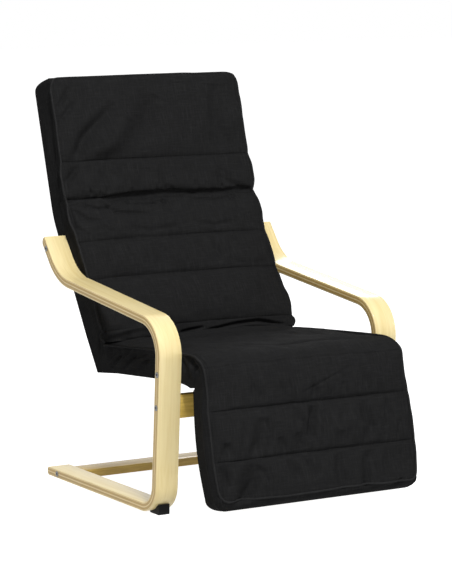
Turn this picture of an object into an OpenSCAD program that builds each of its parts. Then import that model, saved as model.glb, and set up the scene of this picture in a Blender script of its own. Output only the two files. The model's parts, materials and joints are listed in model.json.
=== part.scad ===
// Deck recliner. Two bent laminated side frames carry a slatted back and seat,
// and a padded footrest hangs from the seat on two ratchet hinges.
// Lengths are in millimetres. The sitter faces -Y, X runs across the chair,
// Z = 0 is the floor, and left and right are the sitter's.

/* [Side frame] */
// Clear width between the two side frames
inner_w = 546; // [480:2:620]
// Width of each laminated strip
strip_w = 59.5; // [54:0.5:66]
// Thickness of each laminated strip
strip_t = 21; // [19:0.5:24]
// Length of the base, from its rear end to the corner under the post
base_len = 552; // [530:2:590]
// Length of the post, from corner to corner
post_len = 461.4; // [450:0.2:480]
// Length of the arm, from corner to corner
arm_len = 518.9; // [500:0.1:540]
// Length of the raised tip, from its corner to its end
tip_len = 114; // [106:1:122]
// Forward lean of the post, in degrees
post_lean = 3.5; // [1:0.1:6]
// Rise of the arm towards the rear, in degrees
arm_rise = 5.7; // [4:0.1:8]
// Rise of the tip towards the rear, in degrees
tip_rise = 50.9; // [47:0.1:55]
// Outer radius of the bend under the post
lower_bend_r = 70; // [60:1:85]
// Outer radius of the bend between post and arm
upper_bend_r = 93; // [70:1:110]
// Inner radius of the bend between arm and tip
rear_bend_r = 127; // [90:1:140]
// Radius on the rear edge of the arm's tip
tip_end_r = 13; // [4:1:16]
// Radius on the upper edge of the base's rear end
base_end_r = 6; // [2:1:9]
// Radius on the lower edge of the base's rear end
base_low_r = 8; // [2:1:10]
// Height that the front feet lift the corner under the post
foot_lift = 3; // [2:0.5:6]

/* [Front feet] */
// Width of each foot, across the chair
foot_w = 29; // [20:1:40]
// Length of each foot on the floor
foot_len = 43; // [36:1:48]
// Height of each foot's front face
foot_h = 25; // [18:1:30]
// Distance of each foot's front face behind the corner under the post
foot_set = 9; // [7:0.5:10]

/* [Crossrails] */
// Height of the front crossrail
front_rail_h = 55; // [45:1:65]
// Distance of the front crossrail's middle up the post
front_rail_up = 257.5; // [240:0.5:262]
// Depth of the rear crossrail
rear_rail_d = 58; // [50:1:66]
// Distance of the rear crossrail in front of the base's rear end
rear_rail_in = 32; // [24:1:40]
// Thickness of both crossrails
cross_t = 20; // [18:0.5:21]
// Distance of the rear crossrail's bolt from its rear edge
rear_bolt_in = 20; // [14:1:22]

/* [Seat and back rails] */
// Width of each rail, across the chair
rail_w = 42.5; // [38:0.5:48]
// Thickness of each rail
rail_t = 22; // [20:0.5:25]
// Distance of the seat bolt up the post
seat_bolt_up = 336.5; // [330:0.5:344]
// Fall of the seat towards the rear, in degrees
seat_fall = 4.9; // [2:0.1:8]
// Distance from the seat bolt forward to the footrest's hinge
seat_front = 70.3; // [66:0.1:76]
// Distance from the seat bolt back to the foot of the back rails
seat_rear = 392.6; // [380:0.2:400]
// Length of the back rails below their bend, from corner to corner
back_low_len = 410.4; // [404:0.2:424]
// Length of the back rails above their bend
back_top_len = 311; // [300:1:330]
// Bend of the back rails towards the head, in degrees
head_bend = 15.1; // [10:0.1:20]
// Radius of that bend, at the middle of the rail
head_bend_r = 200; // [160:1:220]

/* [Footrest] */
// Length of the footrest rails, from the hinge
footrest_len = 288; // [282:1:300]
// Forward lean of the footrest as it hangs, in degrees
footrest_lean = 13.6; // [8:0.1:20]
// Distance from the hinge to the near end of each rail
hinge_gap = 16; // [15:0.5:20]

/* [Slats and bars] */
// Width of each slat
slat_w = 44; // [38:1:50]
// Thickness of each slat
slat_t = 8; // [6:0.5:10]
// Distance from one slat to the next
slat_pitch = 76; // [70:1:78]
// Distance of the lowest back slat from the foot of the back rails
back_slat_first = 45; // [40:1:50]
// Distance of the foremost seat slat from the hinge
seat_slat_first = 50; // [48:1:54]
// Distance of the highest footrest slat from the hinge
foot_slat_first = 60; // [54:1:66]
// Depth of the bars that join the rails
bar_w = 36; // [30:1:40]
// Diameter of the round tenons on the bars
tenon_d = 14; // [10:1:16]
// Length of the round tenons on the bars
tenon_len = 18; // [12:1:22]

/* [Ratchet hinges and corner plates] */
// Thickness of the steel plates
plate_t = 3; // [2.5:0.5:4]
// Width of the steel plates
plate_w = 18; // [14:1:20]
// Length of each hinge leaf, from the hinge to its rounded end
leaf_len = 92; // [88:1:96]
// Length of each arm of the corner plates
corner_arm = 58; // [50:1:62]
// Diameter of the closed ratchet case
case_d = 34; // [30:1:38]
// Depth of the closed ratchet case
case_h = 9; // [7:0.5:12]
// Diameter of the hinge rivet
rivet_d = 8; // [6:0.5:10]

/* [Fasteners] */
// Diameter of the frame bolts
bolt_d = 6; // [5:0.5:8]
// Diameter of the frame bolts' heads
bolt_head_d = 14; // [12:0.5:16]
// Height of the frame bolts' heads
bolt_head_h = 4.2; // [3:0.1:5]
// How far the heads stand out of the side frames
head_out = 0.8; // [0.2:0.1:1.5]
// Width across the flats of the hexagon recess
hex_w = 6; // [4:0.5:7]
// Diameter of the barrel nuts
nut_d = 10; // [9:0.5:12]
// Length of the barrel nuts
nut_len = 16; // [14:1:18]
// Distance of the barrel nuts in from the side frames
nut_in = 25; // [20:1:28]
// Diameter of the wood screws
screw_d = 4; // [3:0.5:5]
// Length of the slat screws
slat_screw_len = 22; // [18:1:26]
// Length of the plate screws
plate_screw_len = 18; // [14:1:20]
// Diameter of the crossrails' dowels
dowel_d = 8; // [6:0.5:10]
// Length of the crossrails' dowels
dowel_len = 36; // [30:1:44]

/* [Cushion] */
// Thickness of the cover where it is one cloth
cloth_t = 2.4; // [1.8:0.1:3]
// Height of the back's edge above the slats
back_edge_h = 40; // [32:1:44]
// Height of the seat's edge above the slats
seat_edge_h = 28; // [22:1:32]
// Height of the footrest's edge above the slats
foot_edge_h = 32; // [26:1:38]
// Height of the crown above the edge on the back
back_crown_h = 15; // [8:1:22]
// Height of the crown above the edge on the seat
seat_crown_h = 5; // [3:1:12]
// Height of the crown above the edge on the footrest
foot_crown_h = 21; // [12:1:26]
// How far the sides of the back and seat draw in between their edges
side_draw = 3; // [2:0.5:6]
// How far the sides of the footrest swell out, in front of the posts
side_swell = 16; // [4:1:20]
// How much lower the edge lies at a sewn channel
seam_dip = 11; // [4:1:14]
// Width of the hem behind the rails
hem_w = 80; // [60:1:100]
// Depth of the cover behind the middle of the back rails
back_cover_rear = 29.7; // [27:0.5:34]
// Depth of the cover under the middle of the seat rails
seat_cover_rear = 21; // [19:0.5:26]
// How much lower the hem hangs at the front of the seat
hem_drop = 12; // [0:1:14]
// Depth of the cover behind the middle of the footrest rails, at their ends
foot_cover_rear = 14.5; // [14:0.5:20]
// How far the cover hangs slack behind the middle of the footrest
foot_slack = 18; // [4:1:22]
// Thickness of the closed ends of the cover
end_pad = 33; // [24:1:36]
// Radius of the cover's two corners at the head
back_corner_r = 18; // [6:1:24]
// Radius of the cover's two corners at the foot
foot_corner_r = 30; // [6:1:36]

/* [Hidden] */
$fn = 64;
// Where the corner under the post stands, forward of the origin
post_line = -257;
// Clearances: between faces that only meet, between cloth and wood, and round a running shaft
fit = 0.1;
cloth_gap = 0.3;
run_gap = 0.05;
// How far a cut runs past the solid that it opens
over = 1;
// How far a foot's screw is sunk into it
screw_sink = 1;
// Turn of one flat step in a bend of the wood, in degrees
bend_step = 3;
// Shares: of the tip's length to its bolt, of a head's height to its recess, and of the
// foot's length to its screw
tip_bolt_share = 0.25;
recess_share = 0.7;
foot_screw_share = 0.6;
// Shares: of a screw's width for its head's height, and of a plate's length to each screw
screw_head_share = 0.6;
leaf_screw_shares = [0.46, 0.94];
corner_screw_shares = [0.5, 0.98];
// Shares: of the plate's width for the corner's disc, of the rivet's width for its head, and
// of the step's height for the length of its slope
corner_disc_share = 1.25;
rivet_head_share = 1.75;
step_slope_share = 1.5;

function unit(h) = [cos(h), sin(h)];
function left_of(h) = [-sin(h), cos(h)];

// The outer face of the side frame, as legs of length and heading from the base's rear end
base_tilt = asin(foot_lift / base_len);
frame_start = [post_line + base_len * cos(base_tilt), 0];
frame_legs = [
    [base_len, 180 - base_tilt],
    [post_len, 90 + post_lean],
    [arm_len, arm_rise],
    [tip_len, tip_rise]
];
frame_radii = [lower_bend_r, upper_bend_r, rear_bend_r];

function corner_at(legs, start, i) =
    i == 0 ? start : corner_at(legs, start, i - 1) + legs[i - 1][0] * unit(legs[i - 1][1]);
function turn_at(legs, i) = legs[i][1] - legs[i - 1][1];
function trim_at(legs, radii, i) =
    i < 1 || i > len(legs) - 1 ? 0 : radii[i - 1] * tan(abs(turn_at(legs, i)) / 2);
function bend_centre(legs, radii, start, i) =
    corner_at(legs, start, i) - trim_at(legs, radii, i) * unit(legs[i - 1][1])
    + sign(turn_at(legs, i)) * radii[i - 1] * left_of(legs[i - 1][1]);
// A point in the middle of the strip, at a distance along one leg of the side frame
function in_frame(leg, along) =
    corner_at(frame_legs, frame_start, leg) + along * unit(frame_legs[leg][1])
    - strip_t / 2 * left_of(frame_legs[leg][1]);

// The bolts' places in the side frame
arm_bolt_in = tip_bolt_share * tip_len;
arm_bolt = in_frame(3, tip_len - arm_bolt_in);
seat_bolt = in_frame(1, seat_bolt_up);
front_bolt = in_frame(1, front_rail_up);
rear_bolt = in_frame(0, rear_rail_in + rear_bolt_in);

// The middle line of the rails: up the footrest, back along the seat, and up the back
seat_head = -seat_fall;
foot_head = 90 - footrest_lean;
hinge = seat_bolt - seat_front * unit(seat_head);
seat_len = seat_front + seat_rear;
back_foot = hinge + seat_len * unit(seat_head);
back_way = arm_bolt - back_foot;
back_head = atan2(back_way[1], back_way[0]);
top_head = back_head + head_bend;
mitre = (back_head - seat_head) / 2;
back_trim = head_bend_r * tan(head_bend / 2);
back_straight = back_low_len - back_trim;
back_arc = head_bend_r * head_bend * PI / 180;
back_len = back_straight + back_arc + back_top_len - back_trim;
back_arm_along = norm(back_way);

function back_heading(s) =
    s < back_straight ? back_head
    : s < back_straight + back_arc ? back_head + head_bend * (s - back_straight) / back_arc
    : top_head;
function back_middle(s) =
    let (turn_mid = back_foot + back_straight * unit(back_head) + head_bend_r * left_of(back_head))
    s < back_straight ? back_foot + s * unit(back_head)
    : turn_mid - head_bend_r * left_of(back_heading(s))
      + max(0, s - back_straight - back_arc) * unit(top_head);

// Widths across the chair, each as a distance from its middle
half_in = inner_w / 2;
half_out = half_in + strip_w;
rail_out = half_in - cloth_t - 2 * cloth_gap;
rail_in = rail_out - rail_w;
rail_mid = (rail_in + rail_out) / 2;
nut_at = half_in - nut_in;

// Slats: their number and their places along the rails
back_low_slats = 5;
back_top_slats = 3;
seat_slats = 5;
foot_slats = 3;
slat_half_len = rail_out - over;
back_top_first = back_straight + back_arc + slat_w / 2 + plate_t;
back_slat_at = concat(
    [for (i = [0 : back_low_slats - 1]) back_slat_first + i * slat_pitch],
    [for (i = [0 : back_top_slats - 1]) back_top_first + i * slat_pitch]
);
seat_slat_at = [for (i = [0 : seat_slats - 1]) seat_slat_first + i * slat_pitch];
foot_slat_at = [for (i = [0 : foot_slats - 1]) foot_slat_first + i * slat_pitch];
top_bar_at = back_len - bar_w / 2 - fit;
foot_bar_at = footrest_len - bar_w / 2 - fit;
seat_bar_at = seat_len - corner_arm - plate_w / 2 - bar_w / 2 - over;

// Screws: the head's shape and the leaves' screw places along them
screw_head_d = 2 * screw_d;
screw_head_h = screw_head_share * screw_d;
leaf_screws = leaf_len * leaf_screw_shares;
corner_screws = corner_arm * corner_screw_shares;
leaf_step = case_h + cloth_gap;
corner_disc_d = corner_disc_share * plate_w;
rivet_head_d = rivet_head_share * rivet_d;
rivet_head_h = plate_t;

// Crossrail dowels, in from the free edge of each board
dowel_in = 2 * dowel_d;

// Cover: half widths, heights from the rails' middle line, and lengths
cover_x = half_in - cloth_gap;
pocket_x = rail_out + cloth_gap;
hem_x = cover_x - hem_w;
pad_y = rail_t / 2 + slat_t + cloth_gap;
back_edge_y = pad_y + back_edge_h;
seat_edge_y = pad_y + seat_edge_h;
foot_edge_y = pad_y + foot_edge_h;
corner_rear = (back_cover_rear + seat_cover_rear) / 2;
// How far the mitre's lean reaches along the cover, as a share of its depth
mitre_fade_share = 1.5;
mitre_fade = mitre_fade_share * back_edge_y;
// Where the fold over the hinge hands over to the seat and to the footrest
seat_cover_from = 22;
foot_cover_from = 36;
back_cover_len = back_len + end_pad + cloth_gap;
foot_cover_len = footrest_len + end_pad + cloth_gap;
skin_hole_d = bolt_d + 2 * cloth_t;
// Where the cover is pinched behind the hinge, and the radius of the notch there
pinch_down = 31;
pinch_r = 2;
pinch = hinge - pinch_down * unit(foot_head);
// Sewn channels, as shares of the back cover's length and as distances from the hinge
back_seam_shares = [0, 0.15, 0.264, 0.4, 0.574, 0.702, 1];
foot_seam_b = 92;
foot_seam_c = 209;
// Where the rings of a channel stand, as shares of its length
puff_shares = [0, 0.08, 0.26, 0.5, 0.74, 0.92];
seat_shares = [0, 0.03, 0.1, 0.25, 0.45, 0.65, 0.82, 0.93, 1];
// A closed end's rings, as shares: of its length, and of the ring's depth
end_shares = [[0.3, 1], [0.66, 0.82], [0.88, 0.6], [1, 0.36]];
crown_cols = 9;
crown_power = 4;
// How fully a channel swells: the power of its curve, and the crown's share at a seam
puff_power = 0.6;
back_seam_crown_share = 0.1;
seam_crown_share = 0.2;
// How full the cover is where its closed end begins, as shares of a channel
back_end_share = 0.9;
foot_end_share = 0.7;
// The seat's long swell from front to rear, and the footrest's swell of the sides
seat_swell_shares = [0.08, 1];
seat_swell_power = 0.4;
foot_swell_shares = [0.06, 0.97];
foot_swell_power = 0.7;
// How the drop of the hem at the seat's front dies away
hem_drop_power = 12;
// Shares of the sides' swell that reach the rails' line and the sewn edge
low_swell_share = 0.6;
edge_swell_share = 0.4;

// Lays X along the chair's -Y to +Y, Y up, and Z across the chair
module side_plane() {
    rotate([90, 0, 90]) children();
}

// Puts children on a line in the side plane: X along it, Y on its left, Z across the chair
module on_line(p, h) {
    side_plane() translate([p[0], p[1], 0]) rotate([0, 0, h]) children();
}

module on_side(side) {
    mirror([side < 0 ? 1 : 0, 0, 0]) children();
}

module both_sides() {
    on_side(1) children();
    on_side(-1) children();
}

// One corner of a path, rounded to a radius in short flat steps
function round_at(path, r, i) =
    let (n = len(path),
         before = path[i] - path[(i + n - 1) % n],
         after = path[(i + 1) % n] - path[i],
         h = atan2(before[1], before[0]),
         turn = atan2(before[0] * after[1] - before[1] * after[0], before * after),
         c = path[i] - r * tan(abs(turn) / 2) * unit(h) + sign(turn) * r * left_of(h),
         steps = ceil(abs(turn) / bend_step))
    r == 0 ? [path[i]]
    : [for (j = [0 : steps]) c - sign(turn) * r * left_of(h + turn * j / steps)];

// A strip bent through the legs, with their line as its left face. The four end radii
// go round from the start of that face to its end, then back along the right face.
module bent_strip(legs, radii, ends, start, t, w) {
    n = len(legs);
    left = [for (i = [0 : n]) corner_at(legs, start, i)];
    right = [for (i = [n : -1 : 0]) let (
        h = legs[max(i - 1, 0)][1], next = legs[min(i, n - 1)][1])
        left[i] - t / (1 + cos(next - h)) * (left_of(h) + left_of(next))];
    inner = [for (i = [n - 1 : -1 : 1]) radii[i - 1] + sign(turn_at(legs, i)) * t];
    path = concat(left, right);
    all_radii = concat([ends[0]], radii, [ends[1], ends[2]], inner, [ends[3]]);
    linear_extrude(height = w)
        polygon([for (i = [0 : len(path) - 1]) for (p = round_at(path, all_radii[i], i)) p]);
}

// What is cut away to round an edge: the corner is at the origin, the solid at +X and +Y
module edge_cut(r, w) {
    translate([0, 0, -over]) difference() {
        translate([-over, -over, 0]) cube([r + over, r + over, w + 2 * over]);
        translate([r, r, -over]) cylinder(h = w + 4 * over, r = r);
    }
}

module frame_bolt() {
    top_z = half_out + head_out;
    tip_z = nut_at - nut_d;
    difference() {
        union() {
            translate([0, 0, top_z - bolt_head_h]) cylinder(h = bolt_head_h, d = bolt_head_d);
            translate([0, 0, tip_z]) cylinder(h = top_z - tip_z - bolt_head_h / 2, d = bolt_d);
        }
        translate([0, 0, top_z - recess_share * bolt_head_h])
            cylinder(h = bolt_head_h, d = hex_w / cos(30), $fn = 6);
    }
}

module frame_bolt_hole() {
    translate([0, 0, nut_at - nut_d - over])
        cylinder(h = half_out - nut_at + nut_d + 2 * over, d = bolt_d + 5 * fit);
    translate([0, 0, half_out + head_out - bolt_head_h])
        cylinder(h = bolt_head_h + over, d = bolt_head_d + 5 * fit);
}

// A barrel nut's hole, along Y from a face to just past the nut
module nut_hole(from, middle) {
    way = sign(middle - from);
    reach = abs(middle - from) + nut_len / 2 + fit + over;
    translate([0, from - way * over, nut_at]) rotate([-90 * way, 0, 0])
        cylinder(h = reach, d = nut_d + 2 * fit);
}

module barrel_nut() {
    translate([0, 0, nut_at]) difference() {
        rotate([90, 0, 0]) cylinder(h = nut_len, d = nut_d, center = true);
        cylinder(h = nut_d + 2 * over, d = bolt_d + 2 * run_gap, center = true);
    }
}

// A countersunk wood screw, its head flush at the origin and its point down Z
module wood_screw(length) {
    translate([0, 0, -screw_head_h]) cylinder(h = screw_head_h, d1 = screw_d, d2 = screw_head_d);
    translate([0, 0, screw_d - length]) cylinder(h = length - screw_d - screw_head_h, d = screw_d);
    translate([0, 0, -length]) cylinder(h = screw_d, d1 = screw_d / 4, d2 = screw_d);
}

module wood_screw_hole(length) {
    translate([0, 0, -screw_head_h]) cylinder(h = screw_head_h, d1 = screw_d + 2 * fit,
        d2 = screw_head_d + 2 * fit);
    cylinder(h = screw_sink + over, d = screw_head_d + 2 * fit);
    translate([0, 0, -length - over]) cylinder(h = length + over, d = screw_d + 2 * fit);
}

module side_frame(side) {
    ends = [base_low_r, 0, tip_end_r, base_end_r];
    color("wheat") on_side(side) side_plane() difference() {
        translate([0, 0, half_in])
            bent_strip(frame_legs, frame_radii, ends, frame_start, strip_t, strip_w);
        for (p = [arm_bolt, seat_bolt, front_bolt, rear_bolt])
            translate([p[0], p[1], 0]) frame_bolt_hole();
        foot_screw_place() wood_screw_hole(foot_h);
        for (place = [0, 1]) dowel_place(place) dowel_hole();
    }
}

module foot_screw_place() {
    translate([post_line + foot_set + foot_screw_share * foot_len, screw_sink, half_in + strip_w / 2])
        rotate([90, 0, 0]) children();
}

// Dowels beside the crossrails' bolts, drawn across the chair at the side frame's inner face
module dowel_place(place) {
    front = in_frame(1, front_rail_up - front_rail_h / 2 + dowel_in);
    rear = in_frame(0, rear_rail_in + rear_rail_d - dowel_in);
    p = place == 0 ? front : rear;
    translate([p[0], p[1], half_in]) children();
}

module dowel_hole() {
    cylinder(h = dowel_len + 2 * over, d = dowel_d + 2 * fit, center = true);
}

module front_foot(side) {
    c = bend_centre(frame_legs, frame_radii, frame_start, 1);
    color("black") on_side(side) side_plane() difference() {
        translate([post_line + foot_set, 0, half_in + (strip_w - foot_w) / 2])
            cube([foot_len, foot_h, foot_w]);
        translate([c[0], c[1], half_in]) cylinder(h = strip_w, r = lower_bend_r + fit);
        translate([post_line + foot_set, 0, half_in]) edge_cut(foot_lift, strip_w);
        foot_screw_place() wood_screw_hole(foot_h);
    }
}

module front_crossrail() {
    leg = frame_legs[1];
    foot = corner_at(frame_legs, frame_start, 1);
    color("burlywood") difference() {
        on_line(foot, leg[1])
            translate([front_rail_up - front_rail_h / 2, -(strip_t + cross_t) / 2, -half_in])
                cube([front_rail_h, cross_t, inner_w]);
        both_sides() {
            on_line(front_bolt, leg[1]) {
                frame_bolt_hole();
                nut_hole(-cross_t / 2, 0);
            }
            side_plane() dowel_place(0) dowel_hole();
        }
    }
}

module rear_crossrail() {
    leg = frame_legs[0];
    color("burlywood") difference() {
        on_line(frame_start, leg[1])
            translate([rear_rail_in, -(strip_t + cross_t) / 2, -half_in])
                cube([rear_rail_d, cross_t, inner_w]);
        both_sides() {
            on_line(rear_bolt, leg[1]) {
                frame_bolt_hole();
                nut_hole(cross_t / 2, 0);
            }
            side_plane() dowel_place(1) dowel_hole();
        }
    }
}

// A straight rail along X with a half-round near end
module rail_bar(from, to) {
    translate([from + rail_t / 2, -rail_t / 2, rail_in]) cube([to - from - rail_t / 2, rail_t, rail_w]);
    translate([from + rail_t / 2, 0, rail_in]) cylinder(h = rail_w, d = rail_t);
}

// Screw places on the slats of one line of rails, from the slats' upper faces
module slat_screw_places(at) {
    for (s = at)
        translate([s, rail_t / 2 + slat_t, rail_mid]) rotate([-90, 0, 0]) children();
}

module tenon_hole(at) {
    translate([at, 0, rail_in - over])
        cylinder(h = tenon_len + over + fit, d = tenon_d + 2 * fit);
}

// Screws through a plate on the rails' inner faces, heads inward
module plate_screw_places(at) {
    for (s = at)
        translate([s, 0, rail_in - plate_t]) rotate([180, 0, 0]) children();
}

module beyond_mitre(side) {
    reach = half_out;
    rotate([0, 0, -side * mitre]) translate([side > 0 ? -reach : 0, -reach, -over])
        cube([reach, 2 * reach, half_out]);
}

module seat_rail(side) {
    color("burlywood") on_side(side) on_line(hinge, seat_head) difference() {
        rail_bar(hinge_gap, seat_len + rail_t);
        translate([seat_len, 0, 0]) beyond_mitre(-1);
        translate([seat_front, 0, 0]) {
            frame_bolt_hole();
            nut_hole(-rail_t / 2, 0);
        }
        slat_screw_places(seat_slat_at) wood_screw_hole(slat_screw_len);
        plate_screw_places(leaf_screws) wood_screw_hole(plate_screw_len);
        translate([seat_len, 0, 0]) mirror([1, 0, 0]) plate_screw_places(corner_screws)
            wood_screw_hole(plate_screw_len);
        tenon_hole(seat_bar_at);
    }
}

module back_rail(side) {
    shift = rail_t / 2 * tan(head_bend / 2);
    legs = [[back_low_len + rail_t - shift, back_head], [back_top_len - shift, top_head]];
    start = back_foot - rail_t * unit(back_head) + rail_t / 2 * left_of(back_head);
    color("burlywood") on_side(side) difference() {
        side_plane() translate([0, 0, rail_in])
            bent_strip(legs, [head_bend_r - rail_t / 2], [0, 0, 0, 0], start, rail_t, rail_w);
        on_line(back_foot, back_head) {
            beyond_mitre(1);
            translate([back_arm_along, 0, 0]) {
                frame_bolt_hole();
                nut_hole(-rail_t / 2, 0);
            }
            plate_screw_places(corner_screws) wood_screw_hole(plate_screw_len);
        }
        for (s = back_slat_at)
            on_line(back_middle(s), back_heading(s)) slat_screw_places([0])
                wood_screw_hole(slat_screw_len);
        on_line(back_middle(top_bar_at), top_head) tenon_hole(0);
    }
}

module footrest_rail(side) {
    color("burlywood") on_side(side) on_line(hinge, foot_head) difference() {
        mirror([1, 0, 0]) rail_bar(hinge_gap, footrest_len);
        mirror([1, 0, 0]) {
            slat_screw_places(foot_slat_at) wood_screw_hole(slat_screw_len);
            plate_screw_places(leaf_screws) wood_screw_hole(plate_screw_len);
            tenon_hole(foot_bar_at);
        }
    }
}

// A bar between two rails, with a round tenon at each end
module tenon_bar() {
    half = rail_in - fit;
    translate([-bar_w / 2, -rail_t / 2, -half]) cube([bar_w, rail_t, 2 * half]);
    cylinder(h = 2 * (rail_in + tenon_len), d = tenon_d, center = true);
}

module seat_bar() {
    color("burlywood") on_line(hinge + seat_bar_at * unit(seat_head), seat_head) tenon_bar();
}

module back_top_bar() {
    color("burlywood") on_line(back_middle(top_bar_at), top_head) tenon_bar();
}

module footrest_bar() {
    color("burlywood") on_line(hinge - foot_bar_at * unit(foot_head), foot_head) tenon_bar();
}

// A slat across both rails, with its two screw holes
module slat() {
    difference() {
        translate([-slat_w / 2, rail_t / 2, -slat_half_len])
            cube([slat_w, slat_t, 2 * slat_half_len]);
        for (side = [1, -1]) mirror([0, 0, side < 0 ? 1 : 0])
            slat_screw_places([0]) wood_screw_hole(slat_screw_len);
    }
}

module back_slat(i) {
    s = back_slat_at[i];
    color("tan") on_line(back_middle(s), back_heading(s)) slat();
}

module seat_slat(i) {
    color("tan") on_line(hinge + seat_slat_at[i] * unit(seat_head), seat_head) slat();
}

module footrest_slat(i) {
    color("tan") on_line(hinge - foot_slat_at[i] * unit(foot_head), foot_head) slat();
}

// A flat steel bar with a round end, from the origin along X
module steel_bar(length, h) {
    translate([0, -plate_w / 2, 0]) cube([length, plate_w, h]);
    translate([length, 0, 0]) cylinder(h = h, d = plate_w);
}

module corner_plate(side) {
    color("silver") on_side(side) difference() {
        union() {
            on_line(back_foot, back_head) translate([0, 0, rail_in - plate_t])
                steel_bar(corner_arm, plate_t);
            on_line(back_foot, seat_head + 180) translate([0, 0, rail_in - plate_t])
                steel_bar(corner_arm, plate_t);
            on_line(back_foot, 0) translate([0, 0, rail_in - plate_t])
                cylinder(h = plate_t, d = corner_disc_d);
        }
        on_line(back_foot, back_head) plate_screw_places(corner_screws)
            wood_screw_hole(plate_screw_len);
        on_line(back_foot, seat_head + 180) plate_screw_places(corner_screws)
            wood_screw_hole(plate_screw_len);
    }
}

// The fixed leaf: a plate on the seat rail, and the closed case of the ratchet
module seat_leaf(side) {
    color("silver") on_side(side) on_line(hinge, seat_head) difference() {
        union() {
            translate([0, 0, rail_in - plate_t]) steel_bar(leaf_len, plate_t);
            translate([0, 0, rail_in - case_h]) cylinder(h = case_h, d = case_d);
        }
        plate_screw_places(leaf_screws) wood_screw_hole(plate_screw_len);
        translate([0, 0, rail_in - case_h - over])
            cylinder(h = case_h + 2 * over, d = rivet_d + run_gap);
    }
}

// The moving leaf: a cap that turns on the case, and a stepped plate on the footrest rail
module footrest_leaf(side) {
    cap_z = rail_in - leaf_step - plate_t;
    step_from = case_d / 2 + over;
    step_to = step_from + step_slope_share * leaf_step;
    color("gray") on_side(side) on_line(hinge, foot_head) mirror([1, 0, 0]) difference() {
        union() {
            translate([0, 0, cap_z]) cylinder(h = plate_t, d = case_d);
            translate([0, -plate_w / 2, cap_z]) cube([step_from, plate_w, plate_t]);
            translate([0, plate_w / 2, 0]) rotate([90, 0, 0]) linear_extrude(height = plate_w)
                polygon([
                    [step_from, cap_z], [step_from, cap_z + plate_t],
                    [step_to - plate_t, rail_in], [step_to, rail_in],
                    [step_to, rail_in - plate_t], [step_from + plate_t / 2, cap_z]
                ]);
            translate([step_to, -plate_w / 2, rail_in - plate_t])
                cube([leaf_len - step_to, plate_w, plate_t]);
            translate([leaf_len, 0, rail_in - plate_t]) cylinder(h = plate_t, d = plate_w);
        }
        plate_screw_places(leaf_screws) wood_screw_hole(plate_screw_len);
        translate([0, 0, cap_z - over])
            cylinder(h = plate_t + 2 * over, d = rivet_d + 2 * run_gap);
    }
}

module hinge_rivet(side) {
    inner = rail_in - leaf_step - plate_t - cloth_gap;
    color("dimgray") on_side(side) on_line(hinge, 0) {
        translate([0, 0, inner - rivet_head_h]) cylinder(h = rivet_head_h, d = rivet_head_d);
        translate([0, 0, inner - rivet_head_h / 2])
            cylinder(h = rail_in - inner + rivet_head_h, d = rivet_d);
        translate([0, 0, rail_in]) cylinder(h = rivet_head_h, d = rivet_head_d);
    }
}

module frame_bolts() {
    color("dimgray") both_sides()
        for (p = [arm_bolt, seat_bolt, front_bolt, rear_bolt])
            on_line(p, 0) frame_bolt();
}

module barrel_nuts() {
    color("silver") both_sides() {
        on_line(arm_bolt, back_head) barrel_nut();
        on_line(seat_bolt, seat_head) barrel_nut();
        on_line(front_bolt, 90 + post_lean) barrel_nut();
        on_line(rear_bolt, 180 - base_tilt) barrel_nut();
    }
}

module crossrail_dowels() {
    color("tan") both_sides() side_plane()
        for (place = [0, 1]) dowel_place(place)
            cylinder(h = dowel_len, d = dowel_d, center = true);
}

module slat_screws() {
    color("silver") both_sides() {
        on_line(hinge, seat_head) slat_screw_places(seat_slat_at) wood_screw(slat_screw_len);
        for (s = back_slat_at)
            on_line(back_middle(s), back_heading(s)) slat_screw_places([0])
                wood_screw(slat_screw_len);
    }
}

module footrest_slat_screws() {
    color("silver") both_sides() on_line(hinge, foot_head) mirror([1, 0, 0])
        slat_screw_places(foot_slat_at) wood_screw(slat_screw_len);
}

module plate_screws() {
    color("silver") both_sides() {
        on_line(hinge, seat_head) plate_screw_places(leaf_screws) wood_screw(plate_screw_len);
        on_line(back_foot, back_head) plate_screw_places(corner_screws)
            wood_screw(plate_screw_len);
        on_line(back_foot, seat_head + 180) plate_screw_places(corner_screws)
            wood_screw(plate_screw_len);
    }
}

module footrest_plate_screws() {
    color("silver") both_sides() on_line(hinge, foot_head) mirror([1, 0, 0])
        plate_screw_places(leaf_screws) wood_screw(plate_screw_len);
}

module foot_screws() {
    color("silver") both_sides() side_plane() foot_screw_place() wood_screw(plate_screw_len);
}

// One ring of the cover in its own plane: outside from hem to hem, then the pocket's inside.
// The sides swell out by a length, or draw in by it where it is negative.
function low_at(out) = cover_x + low_swell_share * max(0, out);
function edge_at(out) = cover_x + edge_swell_share * max(0, out);
function cover_ring(rear, edge, crown, out) =
    let (low_x = low_at(out), edge_x = edge_at(out))
    concat(
        [[-hem_x, -rear], [-cover_x, -rear], [-low_x, pad_y],
         [-cover_x - out, (pad_y + edge) / 2], [-edge_x, edge]],
        crown_line(edge_x, edge, crown),
        [[edge_x, edge], [cover_x + out, (pad_y + edge) / 2], [low_x, pad_y],
         [cover_x, -rear], [hem_x, -rear], [hem_x, cloth_t - rear], [pocket_x, cloth_t - rear],
         [pocket_x, pad_y], [-pocket_x, pad_y], [-pocket_x, cloth_t - rear],
         [-hem_x, cloth_t - rear]]
    );
function crown_line(half, edge, crown) =
    [for (i = [1 : crown_cols]) let (u = -cos(180 * i / (crown_cols + 1)))
        [u * half, edge + crown * (1 - pow(abs(u), crown_power))]];
ring_n = 16 + crown_cols;
shell_n = 10 + crown_cols;
function outer_part(ring) = [for (i = [0 : shell_n - 1]) ring[i]];
// A ring drawn together towards a height, for a rounded end
function drawn_ring(ring, keep_x, keep_y, about) =
    [for (q = ring) [q[0] * keep_x, about + (q[1] - about) * keep_y]];
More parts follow.
